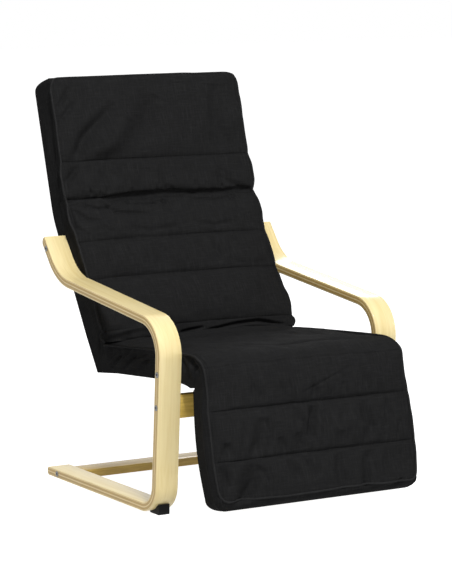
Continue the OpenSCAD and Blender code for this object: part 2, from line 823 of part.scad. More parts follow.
// The width kept at a share of a closed end, whose two corners are round
function end_width(f, corner_r) =
    let (r = min(corner_r, end_pad), d = max(0, f * end_pad - end_pad + r))
    1 - (r - sqrt(max(0, r * r - d * d))) / cover_x;
// A ring set on the middle line, leaning by a slope along it
function set_ring(ring, c, h, slope) =
    [for (q = ring) let (p = c + slope * q[1] * unit(h) + q[1] * left_of(h)) [q[0], p[0], p[1]]];

function fan(p) = [for (i = [1 : len(p) - 2]) [p[0], p[i], p[i + 1]]];
function flat(lists) = [for (l = lists) for (e = l) e];
function turned(faces) = [for (f = faces) [f[0], f[2], f[1]]];
function shifted(faces, by) = [for (f = faces) [f[0] + by, f[1] + by, f[2] + by]];
k = crown_cols;
pad_faces = concat(
    fan([3, 4, 5 + k, 6 + k]),
    fan([for (i = [4 : 5 + k]) i])
);
open_cap = concat(
    fan([0, 1, 14 + k, 15 + k]), fan([1, 2, 13 + k, 14 + k]),
    fan([7 + k, 8 + k, 11 + k, 12 + k]), fan([8 + k, 9 + k, 10 + k, 11 + k]),
    fan([3, 6 + k, 7 + k, 12 + k, 13 + k, 2]), pad_faces
);
pocket_wall = concat(
    fan([13 + k, 12 + k, 11 + k, 10 + k, 15 + k, 14 + k]), fan([15 + k, 10 + k, 9 + k, 0])
);
shell_cap = concat(fan([2, 7 + k, 8 + k, 9 + k, 0, 1]), fan([3, 6 + k, 7 + k, 2]), pad_faces);
// The two faces of each side between one ring and the next, by the rings' first points
function band(n, low, high) = flat([for (i = [0 : n - 1]) let (j = (i + 1) % n)
    [[low + i, high + i, high + j], [low + i, high + j, low + j]]]);

// A cover from open rings, closed past the last of them by solid ones
module cover(rings, ends, flip) {
    base = len(rings) * ring_n;
    last = (len(rings) - 1) * ring_n;
    faces = concat(
        open_cap,
        flat([for (j = [0 : len(rings) - 2]) band(ring_n, j * ring_n, (j + 1) * ring_n)]),
        len(ends) == 0 ? turned(shifted(open_cap, last)) : concat(
            shifted(pocket_wall, last),
            band(shell_n, last, base),
            flat([for (j = [0 : 1 : len(ends) - 2])
                band(shell_n, base + j * shell_n, base + (j + 1) * shell_n)]),
            turned(shifted(shell_cap, base + (len(ends) - 1) * shell_n))
        )
    );
    polyhedron(points = concat(flat(rings), flat(ends)), faces = flip ? turned(faces) : faces);
}

function puff(f) = pow(sin(180 * f), puff_power);
function blend(a, b, f) = a + (b - a) * f;

// The back's rings at their places along it: seams, and the swell of each channel between them
back_stations = flat([for (c = [0 : len(back_seam_shares) - 2]) [for (f = puff_shares)
    [blend(back_seam_shares[c], back_seam_shares[c + 1], f) * back_cover_len, f]]]);
pocket_end = back_len + cloth_gap;
function back_ring(s, f) =
    let (near = max(0, 1 - s / mitre_fade),
         swell = puff(min(f, back_end_share)),
         rear = blend(back_cover_rear, corner_rear, near))
    set_ring(
        cover_ring(rear, back_edge_y - seam_dip * (1 - swell),
            back_crown_h * blend(back_seam_crown_share, 1, swell), -side_draw),
        back_middle(s + cloth_gap / 2), back_heading(s), near * tan(mitre));
back_end_mid = (back_edge_y + back_crown_h - back_cover_rear) / 2;

module back_cushion() {
    open = [for (q = back_stations) if (q[0] < pocket_end - cloth_t) back_ring(q[0], q[1])];
    shell = outer_part(cover_ring(back_cover_rear, back_edge_y, back_crown_h, -side_draw));
    ends = [for (q = end_shares)
        set_ring(drawn_ring(shell, end_width(q[0], back_corner_r), q[1], back_end_mid),
            back_middle(pocket_end + q[0] * end_pad), top_head, 0)];
    color([0.12, 0.12, 0.13]) difference() {
        cover(concat(open, [back_ring(pocket_end, back_end_share)]), ends, false);
        both_sides() on_line(arm_bolt, 0) translate([0, 0, rail_out - over])
            cylinder(h = 2 * nut_in, d = skin_hole_d);
    }
}

function seat_ring(f) =
    let (s = blend(seat_cover_from, seat_len - cloth_gap / 2, f),
         near = max(0, 1 - (seat_len - s) / mitre_fade),
         swell = pow(sin(180 * blend(seat_swell_shares[0], seat_swell_shares[1], f)),
             seat_swell_power),
         rear = blend(seat_cover_rear, corner_rear, near)
             + hem_drop * pow(1 - f, hem_drop_power))
    set_ring(
        cover_ring(rear, seat_edge_y - seam_dip / 2 * (1 - swell),
            seat_crown_h * blend(seam_crown_share, 1, swell), -side_draw),
        hinge + s * unit(seat_head), seat_head, -near * tan(mitre));

module seat_cushion() {
    color([0.12, 0.12, 0.13]) difference() {
        cover([for (f = seat_shares) seat_ring(f)], [], false);
        both_sides() on_line(seat_bolt, 0) translate([0, 0, rail_out - over])
            cylinder(h = 2 * nut_in, d = skin_hole_d);
    }
}

// The footrest's rings, from the hinge down, with the two channels sewn across it
foot_stations = concat(
    [for (f = [0.5, 0.74, 0.92]) [blend(foot_cover_from, foot_seam_b, 2 * f - 1), f]],
    [for (f = puff_shares) [blend(foot_seam_b, foot_seam_c, f), f]],
    [for (f = puff_shares) if (f < 0.6) [blend(foot_seam_c, foot_cover_len, f), f]]
);
foot_pocket_end = footrest_len + cloth_gap;
function foot_out(along) = side_swell
    * pow(sin(180 * blend(foot_swell_shares[0], foot_swell_shares[1], along)), foot_swell_power);
function foot_ring(s, f) =
    let (swell = puff(f),
         along = (s - foot_cover_from) / (foot_cover_len - foot_cover_from))
    set_ring(
        cover_ring(foot_cover_rear + foot_slack * sin(180 * along),
            foot_edge_y - seam_dip / 2 * (1 - swell),
            foot_crown_h * blend(seam_crown_share, 1, swell), foot_out(along)),
        hinge - s * unit(foot_head), foot_head, 0);
foot_end_mid = (foot_edge_y + foot_crown_h - foot_cover_rear) / 2;

module footrest_cushion() {
    rings = [for (q = foot_stations) if (q[0] < foot_pocket_end - cloth_t) foot_ring(q[0], q[1])];
    shell = outer_part(cover_ring(foot_cover_rear, foot_edge_y, foot_crown_h, side_swell / 2));
    ends = [for (q = end_shares)
        set_ring(drawn_ring(shell, end_width(q[0], foot_corner_r), q[1], foot_end_mid),
            hinge - (foot_pocket_end + q[0] * end_pad) * unit(foot_head), foot_head, 0)];
    color([0.12, 0.12, 0.13])
        cover(concat(rings, [foot_ring(foot_pocket_end, foot_end_share)]), ends, true);
}

// The padded fold over the hinge: arches from the footrest's end round to the seat's
function fold_ring(low, edge, crown, out) =
    let (low_x = low_at(out), edge_x = edge_at(out))
    concat(
        [[-cover_x, low], [-low_x, pad_y], [-cover_x - out, (pad_y + edge) / 2], [-edge_x, edge]],
        crown_line(edge_x, edge, crown),
        [[edge_x, edge], [cover_x + out, (pad_y + edge) / 2], [low_x, pad_y], [cover_x, low],
         [pocket_x, low], [pocket_x, pad_y], [-pocket_x, pad_y], [-pocket_x, low]]
    );
fold_n = 12 + crown_cols;
fold_cap = concat(
    fan([0, 1, 10 + k, 11 + k]), fan([6 + k, 7 + k, 8 + k, 9 + k]),
    fan([2, 5 + k, 6 + k, 9 + k, 10 + k, 1]), fan([2, 3, 4 + k, 5 + k]),
    fan([for (i = [3 : 4 + k]) i])
);
// An arch round the hinge, whose two ends meet its neighbours' at the pinch
function fold_round(edge, crown, h) =
    [for (q = fold_ring(0, edge, crown, 0)) let (
        p = q[1] == 0 ? pinch + pinch_r * left_of(h) : hinge + q[1] * left_of(h))
        [q[0], p[0], p[1]]];
// Arches round the hinge, as shares: of the turn, of the edge's height, of the crown
fold_shares = [[0, 1, 0.7], [0.2, 0.86, 0.5], [0.4, 0.62, 0.12], [0.6, 0.7, 0.16],
    [0.8, 0.74, 0.18], [1, 0.76, 0.2]];

module knee_fold() {
    low = set_ring(
        fold_ring(-foot_cover_rear, foot_edge_y, foot_crown_h, foot_out(0)),
        hinge - (foot_cover_from - cloth_gap) * unit(foot_head), foot_head, 0);
    high = set_ring(
        fold_ring(-seat_cover_rear - hem_drop, seat_edge_y - seam_dip / 4,
            seat_crown_h / 2, -side_draw),
        hinge + (seat_cover_from - cloth_gap) * unit(seat_head), seat_head, 0);
    rings = concat([low],
        [for (q = fold_shares) fold_round(pad_y + foot_edge_h * q[1], foot_crown_h * q[2],
            blend(foot_head, seat_head, q[0]))],
        [high]);
    color([0.12, 0.12, 0.13]) polyhedron(
        points = flat(rings),
        faces = concat(fold_cap,
            flat([for (j = [0 : len(rings) - 2]) band(fold_n, j * fold_n, (j + 1) * fold_n)]),
            turned(shifted(fold_cap, (len(rings) - 1) * fold_n))));
}

side_frame(1);  // side_frame_left
side_frame(-1);  // side_frame_right
front_foot(1);  // front_foot_left
front_foot(-1);  // front_foot_right
front_crossrail();
rear_crossrail();
seat_rail(1);  // seat_rail_left
seat_rail(-1);  // seat_rail_right
back_rail(1);  // back_rail_left
back_rail(-1);  // back_rail_right
footrest_rail(1);  // footrest_rail_left
footrest_rail(-1);  // footrest_rail_right
seat_bar();
back_top_bar();
footrest_bar();
for (i = [0 : len(back_slat_at) - 1])
    back_slat(i);
for (i = [0 : len(seat_slat_at) - 1])
    seat_slat(i);
for (i = [0 : len(foot_slat_at) - 1])
    footrest_slat(i);
corner_plate(1);  // corner_plate_left
corner_plate(-1);  // corner_plate_right
seat_leaf(1);  // seat_leaf_left
seat_leaf(-1);  // seat_leaf_right
footrest_leaf(1);  // footrest_leaf_left
footrest_leaf(-1);  // footrest_leaf_right
hinge_rivet(1);  // hinge_rivet_left
hinge_rivet(-1);  // hinge_rivet_right
frame_bolts();
barrel_nuts();
crossrail_dowels();
slat_screws();
footrest_slat_screws();
plate_screws();
footrest_plate_screws();
foot_screws();
back_cushion();
seat_cushion();
knee_fold();
footrest_cushion();
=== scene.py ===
# %% [markdown]
# # A deck recliner
# The chair has two bent laminated side frames, a slatted seat and back, and one
# long padded cover that runs from the head, over the knees and down the footrest.
# The construction model gives every place and size. This lesson gives the looks:
# it loads that model, keeps it still, and dresses or replaces its pieces.

# %% The construction model
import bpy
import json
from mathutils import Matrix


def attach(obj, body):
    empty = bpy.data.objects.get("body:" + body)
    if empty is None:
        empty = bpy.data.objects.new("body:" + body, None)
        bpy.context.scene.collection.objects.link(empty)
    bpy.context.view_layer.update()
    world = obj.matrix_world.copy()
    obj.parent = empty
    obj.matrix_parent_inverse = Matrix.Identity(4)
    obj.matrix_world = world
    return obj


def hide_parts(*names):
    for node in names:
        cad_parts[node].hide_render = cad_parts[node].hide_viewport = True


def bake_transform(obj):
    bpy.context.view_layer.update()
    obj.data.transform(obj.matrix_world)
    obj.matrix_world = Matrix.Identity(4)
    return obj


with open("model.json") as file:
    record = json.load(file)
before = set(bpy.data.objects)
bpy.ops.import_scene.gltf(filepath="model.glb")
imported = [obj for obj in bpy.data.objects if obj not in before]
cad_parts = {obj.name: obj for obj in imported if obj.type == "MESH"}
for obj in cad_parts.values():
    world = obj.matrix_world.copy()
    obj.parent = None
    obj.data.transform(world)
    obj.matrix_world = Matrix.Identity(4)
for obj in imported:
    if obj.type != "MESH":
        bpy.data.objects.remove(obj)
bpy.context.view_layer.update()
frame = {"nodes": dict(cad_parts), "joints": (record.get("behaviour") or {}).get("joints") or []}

import json
import math
import time
import bpy
import bmesh
import numpy as np
from mathutils import Matrix, Vector

MM = 0.001
started = time.time()

# %% [markdown]
# ## The chair's main lines
# Everything soft follows the middle line of the rails: down the footrest from
# the hinge, back along the seat, up the back and round to the head. It starts at
# the hinge's place in the frame, and is drawn here once more, in metres, from the
# same sizes that the wood was cut to.

# %% Sizes and the middle line
HALF_IN, STRIP_W, STRIP_T = 273 * MM, 59.5 * MM, 21 * MM
HALF_OUT = HALF_IN + STRIP_W
FRAME_START = np.array([294.992, 0.0]) * MM
FRAME_LEGS = [(552 * MM, 179.68861), (461.4 * MM, 93.5), (518.9 * MM, 5.7), (114 * MM, 50.9)]
FRAME_RADII = [70 * MM, 93 * MM, 127 * MM]
HINGE = np.array(frame["joints"][0]["pos_m"][1:])
SEAT_HEAD, FOOT_HEAD = -4.9, 76.4
SEAT_LEN, FOOT_LEN = 462.9 * MM, 288 * MM
BACK_HEAD, HEAD_BEND, HEAD_R = 57.8236, 15.1, 200 * MM
TOP_HEAD = BACK_HEAD + HEAD_BEND
BACK_STRAIGHT, BACK_TOP = 383.9 * MM, 311 * MM


def heading(h):
    return np.array([math.cos(math.radians(h)), math.sin(math.radians(h))])


def left_of(h):
    return np.array([-math.sin(math.radians(h)), math.cos(math.radians(h))])


BACK_FOOT = HINGE + SEAT_LEN * heading(SEAT_HEAD)
BACK_ARC = HEAD_R * math.radians(HEAD_BEND)
BACK_TRIM = HEAD_R * math.tan(math.radians(HEAD_BEND / 2))
BACK_LEN = BACK_STRAIGHT + BACK_ARC + BACK_TOP - BACK_TRIM
MITRE = (BACK_HEAD - SEAT_HEAD) / 2


def back_line(s):
    """Point and heading of the back rail's middle line, at a distance along it."""
    if s < BACK_STRAIGHT:
        return BACK_FOOT + s * heading(BACK_HEAD), BACK_HEAD
    bend_mid = BACK_FOOT + BACK_STRAIGHT * heading(BACK_HEAD) + HEAD_R * left_of(BACK_HEAD)
    h = min(TOP_HEAD, BACK_HEAD + HEAD_BEND * (s - BACK_STRAIGHT) / BACK_ARC)
    beyond = max(0.0, s - BACK_STRAIGHT - BACK_ARC)
    return bend_mid - HEAD_R * left_of(h) + beyond * heading(TOP_HEAD), h


print("back length:", round(BACK_LEN / MM, 1), "mm")

# %% [markdown]
# ## The camera
# The photograph was taken from the sitter's front right with a long lens, so the
# far side is hardly smaller than the near one. The camera's place was worked out
# from the straight edges of the side frames.

# %% Camera
SENSOR, LENS, FAR_CLIP = 36, 159.707, 100
CAMERA_AT = (-3.25235, -5.43190, 1.38206)
CAMERA_RIGHT = Vector((0.857056, -0.515220, 0.0015966))
CAMERA_UP = Vector((0.0714976, 0.1220023, 0.9899513))
CAMERA_BACK = CAMERA_RIGHT.cross(CAMERA_UP)


def linked(name, data):
    """A new object, put into the scene."""
    obj = bpy.data.objects.new(name, data)
    bpy.context.scene.collection.objects.link(obj)
    return obj


camera_data = bpy.data.cameras.new("studio_camera")
camera = linked("studio_camera", camera_data)
camera_data.sensor_fit = 'AUTO'
camera_data.sensor_width = SENSOR
camera_data.lens = LENS
camera_data.clip_end = FAR_CLIP
camera.matrix_world = Matrix.Translation(CAMERA_AT) @ Matrix(
    (CAMERA_RIGHT, CAMERA_UP, CAMERA_BACK)).transposed().to_4x4()
bpy.context.scene.camera = camera
print("camera looks along", [round(-v, 4) for v in CAMERA_BACK])

# %% [markdown]
# ## One small class for shader maths
# A material is a graph of nodes. Written out by hand it is long, so a Signal
# stands for one socket, and Python's own signs add the Math nodes between them.

# %% Signals and finishes


def sign(operation):
    """A method that joins a Signal to another value by one Math operation."""
    def joined(self, other):
        return self.maths(operation, other)
    return joined


class Signal:
    """One output socket of a finish, with ordinary arithmetic."""

    def __init__(self, finish, socket):
        self.finish, self.socket = finish, socket

    def maths(self, operation, *others, clamp=False):
        sockets = dict(enumerate((self,) + others))
        return self.finish.node('ShaderNodeMath', sockets, operation=operation, use_clamp=clamp)

    __add__ = __radd__ = sign('ADD')
    __mul__ = __rmul__ = sign('MULTIPLY')
    __sub__ = sign('SUBTRACT')
    __truediv__ = sign('DIVIDE')
    __gt__ = sign('GREATER_THAN')

    def __rsub__(self, other):
        return self.finish.node('ShaderNodeMath', {0: other, 1: self}, operation='SUBTRACT')

    def inside(self):
        return self.maths('ADD', 0.0, clamp=True)

    def steps(self, low, high):
        return self.finish.node('ShaderNodeMapRange', {0: self, 1: low, 2: high, 3: 0.0, 4: 1.0},
                                interpolation_type='SMOOTHSTEP')


class Finish:
    """A material: one shader, and the nodes that feed it."""

    def __init__(self, name, roughness=0.5, metallic=0.0, coat=0.0, sheen=0.0, specular=0.5):
        self.material = bpy.data.materials.new(name)
        self.material.use_nodes = True
        self.tree = self.material.node_tree
        self.tree.nodes.clear()
        output = self.tree.nodes.new('ShaderNodeOutputMaterial')
        self.shader = self.tree.nodes.new('ShaderNodeBsdfPrincipled')
        self.tree.links.new(self.shader.outputs[0], output.inputs[0])
        for socket, value in (("Roughness", roughness), ("Metallic", metallic),
                              ("Coat Weight", coat), ("Sheen Weight", sheen),
                              ("Specular IOR Level", specular)):
            self.shader.inputs[socket].default_value = value

    def node(self, kind, sockets=None, out=0, **settings):
        made = self.tree.nodes.new(kind)
        for setting, value in settings.items():
            setattr(made, setting, value)
        for key, value in (sockets or {}).items():
            if isinstance(value, Signal):
                self.tree.links.new(value.socket, made.inputs[key])
            else:
                made.inputs[key].default_value = value
        return Signal(self, made.outputs[out])

    def set(self, socket, value):
        self.tree.links.new(value.socket, self.shader.inputs[socket])

    def place(self, stretch=(1, 1, 1), turn=(0, 0, 0), uv=None):
        """Places on the surface: the object's own, or a named flat map, stretched."""
        if uv:
            at = self.node('ShaderNodeUVMap', uv_map=uv)
        else:
            at = self.node('ShaderNodeTexCoord', out="Object")
        return self.node('ShaderNodeMapping', {"Vector": at, "Scale": stretch, "Rotation": turn})

    def axis(self, vector, direction=0):
        """One coordinate of a vector."""
        return self.node('ShaderNodeSeparateXYZ', {"Vector": vector}, out=direction)

    def join(self, x, y, z):
        return self.node('ShaderNodeCombineXYZ', {0: x, 1: y, 2: z})

    def scaled(self, vector, by):
        return self.node('ShaderNodeVectorMath', {0: vector, 1: by}, operation='MULTIPLY')

    def noise(self, at, scale, detail=2.0, roughness=0.5, distortion=0.0):
        return self.node('ShaderNodeTexNoise', {"Vector": at, "Scale": scale, "Detail": detail,
                                                "Roughness": roughness, "Distortion": distortion})

    def between(self, share, first, second):
        """A colour between two, by a share from 0 to 1."""
        colours = {i: v if isinstance(v, Signal) else (*v, 1.0) for i, v in ((6, first), (7, second))}
        return self.node('ShaderNodeMix', {0: share, **colours}, out=2, data_type='RGBA')

    def bump(self, height, depth, strength=1.0):
        self.set("Normal", self.node('ShaderNodeBump', {"Height": height, "Distance": depth,
                                                        "Strength": strength}))


def wear(obj, finish):
    obj.data.materials.clear()
    obj.data.materials.append(finish.material)


def new_nodes(tree, *kinds):
    return [tree.nodes.new('ShaderNode' + kind) for kind in kinds]


def wire(tree, *pairs):
    """Join sockets: each pair is an output and the input that it feeds."""
    for source, target in pairs:
        tree.links.new(source, target)


print("shader helper ready")

# %% [markdown]
# ## The studio
# The photograph has a plain white ground. As the camera and mirror-like surfaces
# see it, the floor glows, so it is white where light falls and keeps the chair's
# soft shadow, and the air is pure white. Its light on the chair is weaker. Four
# square lamps light the chair: a strong one high in front and three faint ones.

# %% Floor, air and lamps
FLOOR_SIZE, FLOOR_GLOW, AIR_LIGHT, AIR_SEEN = 40, 0.95, 0.31, 1.0
FLOOR_TONE, GLOW_TONE = (0.72, 0.72, 0.72, 1), (0.5, 0.5, 0.5, 1)
bpy.ops.mesh.primitive_plane_add(size=FLOOR_SIZE, location=(0, 0, 0))
floor = bpy.context.object
floor.name = "studio_floor"
pale = Finish("pale_floor", roughness=0.9, specular=0.1)
pale.shader.inputs["Base Color"].default_value = FLOOR_TONE
shown, glow, soft, both, rays = new_nodes(pale.tree, 'MixShader', 'Emission', 'BsdfDiffuse', 'AddShader',
                                          'LightPath')
glow.inputs["Strength"].default_value = FLOOR_GLOW
soft.inputs["Color"].default_value = GLOW_TONE
seen = (Signal(pale, rays.outputs["Is Camera Ray"]) + Signal(pale, rays.outputs["Is Glossy Ray"])
        + Signal(pale, rays.outputs["Is Transmission Ray"])).inside()
floor_out = next(n for n in pale.tree.nodes if n.type == 'OUTPUT_MATERIAL')
wire(pale.tree, (glow.outputs[0], both.inputs[0]), (soft.outputs[0], both.inputs[1]),
     (seen.socket, shown.inputs[0]), (pale.shader.outputs[0], shown.inputs[1]),
     (both.outputs[0], shown.inputs[2]), (shown.outputs[0], floor_out.inputs[0]))
wear(floor, pale)

world = bpy.data.worlds.new("studio_air")
world.use_nodes = True
bpy.context.scene.world = world
air = world.node_tree
air.nodes.clear()
air_out, air_mix, air_light, air_seen, air_rays, air_both = new_nodes(
    air, 'OutputWorld', 'MixShader', 'Background', 'Background', 'LightPath', 'Math')
for background, strength in ((air_light, AIR_LIGHT), (air_seen, AIR_SEEN)):
    background.inputs[0].default_value = (1, 1, 1, 1)
    background.inputs[1].default_value = strength
air_both.operation = 'MAXIMUM'
wire(air, (air_rays.outputs["Is Camera Ray"], air_both.inputs[0]),
     (air_rays.outputs["Is Glossy Ray"], air_both.inputs[1]), (air_both.outputs[0], air_mix.inputs[0]),
     (air_light.outputs[0], air_mix.inputs[1]), (air_seen.outputs[0], air_mix.inputs[2]),
     (air_mix.outputs[0], air_out.inputs[0]))


def lamp(name, at, towards, size, power):
    light = bpy.data.lights.new(name, 'AREA')
    light.shape, light.size, light.energy = 'SQUARE', size, power
    obj = linked(name, light)
    obj.location = at
    obj.rotation_euler = (Vector(towards) - Vector(at)).to_track_quat('-Z', 'Y').to_euler()


lamp("key_lamp", (-0.9, -3.0, 4.3), (0, 0, 0.5), 1.0, 200)
lamp("side_lamp", (-2.8, -3.8, 0.9), (0, 0, 0.45), 1.0, 24)
lamp("far_lamp", (3.6, -2.4, 1.4), (0, 0, 0.45), 1.0, 16)
lamp("rear_lamp", (2.4, 3.0, 2.4), (0, 0, 0.4), 1.4, 36)

bpy.context.scene.view_settings.view_transform = 'Standard'
print("studio ready")

# %% [markdown]
# ## Wood
# The side frames are glued from thin veneers in a curved press. The broad faces
# show one pale veneer with quiet grain, and the narrow edges show every layer as
# a thin line. So the laminate's finish reads two flat maps that the sweep below
# lays on each frame: how far along the strip a point is, and how deep in it.

# %% Finishes of the wood
PLY_T = STRIP_T / 5
FACE_PALE, FACE_DARK, FACE_FLECK, FACE_CLOUD = ((0.895, 0.750, 0.395), (0.790, 0.625, 0.280),
                                                (0.60, 0.44, 0.19), (0.92, 0.80, 0.49))
PLY_PALE, PLY_DARK, PLY_STREAK, GLUE = ((0.83, 0.66, 0.33), (0.56, 0.365, 0.110),
                                        (0.42, 0.27, 0.09), (0.27, 0.16, 0.05))


def pale_laminate():
    wood = Finish("pale_laminate_finish", roughness=0.36, coat=0.3, specular=0.40)
    flat = wood.place(uv="ply")
    run, depth = wood.axis(flat, 0), wood.axis(flat, 1)
    on_edge = wood.axis(wood.node('ShaderNodeTexCoord', out="Normal")).maths('ABSOLUTE') > 0.72
    across = wood.axis(wood.node('ShaderNodeTexCoord', out="Object"))
    spread = wood.join(run * 5.0, across * 95.0, depth * 6.0)
    grain = wood.noise(spread, 1.0, detail=6.0, roughness=0.62, distortion=0.6)
    flecks = wood.noise(wood.scaled(spread, (3.0, 5.0, 1.0)), 1.0, detail=3.0)
    cloud = wood.noise(wood.place(), 5.0)
    face = wood.between(grain.steps(0.30, 0.72), FACE_PALE, FACE_DARK)
    face = wood.between(flecks.steps(0.60, 0.78) * 0.35, face, FACE_FLECK)
    face = wood.between(cloud.steps(0.35, 0.75) * 0.35, face, FACE_CLOUD)
    wavy = (depth + (wood.noise(wood.place(), 30.0) - 0.5) * 0.0005) / PLY_T
    glue = (wavy.maths('FRACT') - 0.5).maths('ABSOLUTE').steps(0.33, 0.46)
    odd = (wavy * 0.5).maths('FRACT') > 0.5
    streak = wood.noise(wood.join(run * 9.0, depth * 900.0, 0.0), 1.0, detail=4.0, roughness=0.6)
    edge = wood.between(odd, PLY_PALE, PLY_DARK)
    edge = wood.between(streak.steps(0.35, 0.75) * 0.35, edge, PLY_STREAK)
    edge = wood.between(glue * 0.5, edge, GLUE)
    wood.set("Base Color", wood.between(on_edge, face, edge))
    wood.set("Roughness", 0.34 + grain * 0.12 + on_edge * 0.14)
    wood.bump(grain * 0.6 + flecks * 0.4 - glue * on_edge * 1.5, 0.00012)
    return wood


def plain_wood(name, light, dark, fleck, stretch, roughness=0.45, coat=0.1):
    wood = Finish(name, roughness=roughness, coat=coat, specular=0.4)
    at = wood.place(stretch)
    grain = wood.noise(at, 1.0, detail=6.0, roughness=0.6, distortion=0.8)
    rings = wood.noise(wood.scaled(at, (0.7, 0.22, 0.22)), 1.0, distortion=1.4)
    pores = wood.noise(wood.scaled(at, (3.0, 4.5, 4.5)), 1.0)
    colour = wood.between(grain.steps(0.28, 0.74), light, dark)
    colour = wood.between(rings.steps(0.45, 0.62) * 0.4, colour, dark)
    colour = wood.between(pores.steps(0.62, 0.80) * 0.5, colour, fleck)
    wood.set("Base Color", colour)
    wood.set("Roughness", roughness - 0.05 + grain * 0.18)
    wood.bump(grain * 0.5 + pores * 0.5, 0.00015)
    return wood


laminate = pale_laminate()
golden = plain_wood("golden_wood_finish", (0.74, 0.52, 0.120), (0.52, 0.335, 0.060),
                    (0.24, 0.14, 0.03), (9, 130, 130), coat=0.4)
rail_wood = plain_wood("rail_wood_finish", (0.76, 0.57, 0.31), (0.62, 0.42, 0.20),
                       (0.40, 0.24, 0.10), (110, 12, 12))
slat_wood = plain_wood("slat_wood_finish", (0.82, 0.65, 0.40), (0.70, 0.51, 0.27),
                       (0.48, 0.31, 0.14), (8, 120, 120))
print("four finishes of wood")

# %% [markdown]
# ## Metal and plastic
# Bolts and hinges are zinc plated, which is grey with a faint cloudy sheen and
# fine scratches. The front feet are black moulded plastic with a fine grain.

# %% Finishes of the small parts


def zinc_steel():
    steel = Finish("zinc_steel_finish", roughness=0.35, metallic=1.0)
    cloud = steel.noise(steel.place(), 60.0, detail=4.0)
    scratch = steel.noise(steel.place((1, 8, 30)), 60.0)
    steel.set("Base Color", steel.between(cloud.steps(0.3, 0.7), (0.26, 0.26, 0.255), (0.15, 0.15, 0.147)))
    steel.set("Roughness", 0.26 + cloud * 0.16 + scratch.steps(0.5, 0.8) * 0.15)
    steel.bump(scratch, 0.00004)
    return steel


def black_plastic():
    plastic = Finish("black_plastic_finish", roughness=0.5, specular=0.12)
    at = plastic.place()
    grain = plastic.noise(at, 900.0)
    dust = plastic.noise(at, 35.0, detail=3.0)
    plastic.set("Base Color", plastic.between(dust.steps(0.4, 0.75) * 0.5,
                                              (0.004, 0.004, 0.0045), (0.010, 0.010, 0.0105)))
    plastic.set("Roughness", 0.42 + dust * 0.2)
    plastic.bump(grain, 0.00008)
    return plastic


zinc, plastic = zinc_steel(), black_plastic()
print("metal and plastic ready")

# %% [markdown]
# ## The bent side frames
# Each side is one strip of laminated veneer: a base, a post, an arm and a raised
# tip, with three bends between them. A sweep makes it: rings of a rectangle with
# eased corners are set along the strip, close together in the bends, and each
# point keeps its place along and across the strip for the finish.

# %% The strip's path


def strip_path(step=2.0):
    """Points on the strip's outer face with their heading and distance along it."""
    corners = [FRAME_START]
    for length, h in FRAME_LEGS:
        corners.append(corners[-1] + length * heading(h))
    places, run, start = [], 0.0, corners[0]
    for i, radius in enumerate(FRAME_RADII):
        h0, h1 = FRAME_LEGS[i][1], FRAME_LEGS[i + 1][1]
        turn = h1 - h0
        trim = radius * math.tan(math.radians(abs(turn)) / 2)
        bend_from = corners[i + 1] - trim * heading(h0)
        places.append((start, h0, run))
        run += float(np.linalg.norm(bend_from - start))
        side = 1 if turn > 0 else -1
        middle = bend_from + side * radius * left_of(h0)
        count = int(abs(turn) / step) + 1
        for j in range(count + 1):
            h = h0 + turn * j / count
            places.append((middle - side * radius * left_of(h), h,
                           run + radius * math.radians(abs(turn)) * j / count))
        run += radius * math.radians(abs(turn))
        start = places[-1][0]
    places.append((corners[-1], FRAME_LEGS[-1][1], run + float(np.linalg.norm(corners[-1] - start))))
    return places


def with_ends(places, near=14 * MM):
    """Rings close together at both ends, where the strip's end is rounded."""
    total = places[-1][2]
    first, last = places[0], places[-1]
    shares = [0, 0.03, 0.1, 0.2, 0.35, 0.5, 0.7, 1.0]
    head = [(first[0] + f * near * heading(first[1]), first[1], f * near) for f in shares]
    tail = [(last[0] - f * near * heading(last[1]), last[1], total - f * near) for f in reversed(shares)]
    return head + places[1:-1] + tail


def eased(distance, radius):
    """How far a rounded end draws the face in, at a distance from that end."""
    if distance >= radius:
        return 0.0
    return radius - math.sqrt(max(0.0, radius ** 2 - (radius - distance) ** 2))


strip_rings = with_ends(strip_path())
STRIP_RUN = strip_rings[-1][2]
print("rings along the strip:", len(strip_rings), "length:", round(STRIP_RUN / MM), "mm")

# %% [markdown]
# ## Sweeping the strip
# The rear end of the base and the end of the tip are rounded by thinning the
# last rings. A cut then opens the four bolt holes, as a drill would.

# %% Side frames
SHARP_ENDS, HOLE_TURN = 2 * MM, 32


def grid_faces(rings, columns, flip=False):
    """Faces between closed rings of points, turned inside out where asked."""
    faces = []
    for i in range(rings - 1):
        for j in range(columns):
            a, b = i * columns + j, i * columns + (j + 1) % columns
            face = (a, b, b + columns, a + columns)
            faces.append(face[::-1] if flip else face)
    return faces


def mesh_piece(name, points, faces, finish):
    mesh = bpy.data.meshes.new(name)
    mesh.from_pydata([tuple(map(float, p)) for p in points], [], faces)
    mesh.validate()
    obj = linked(name, mesh)
    wear(obj, finish)
    return obj


def shade(obj, turn):
    """Smooth shading, but sharp where two faces meet at more than this many degrees."""
    for face in obj.data.polygons:
        face.use_smooth = True
    obj.data.set_sharp_from_angle(angle=math.radians(turn))


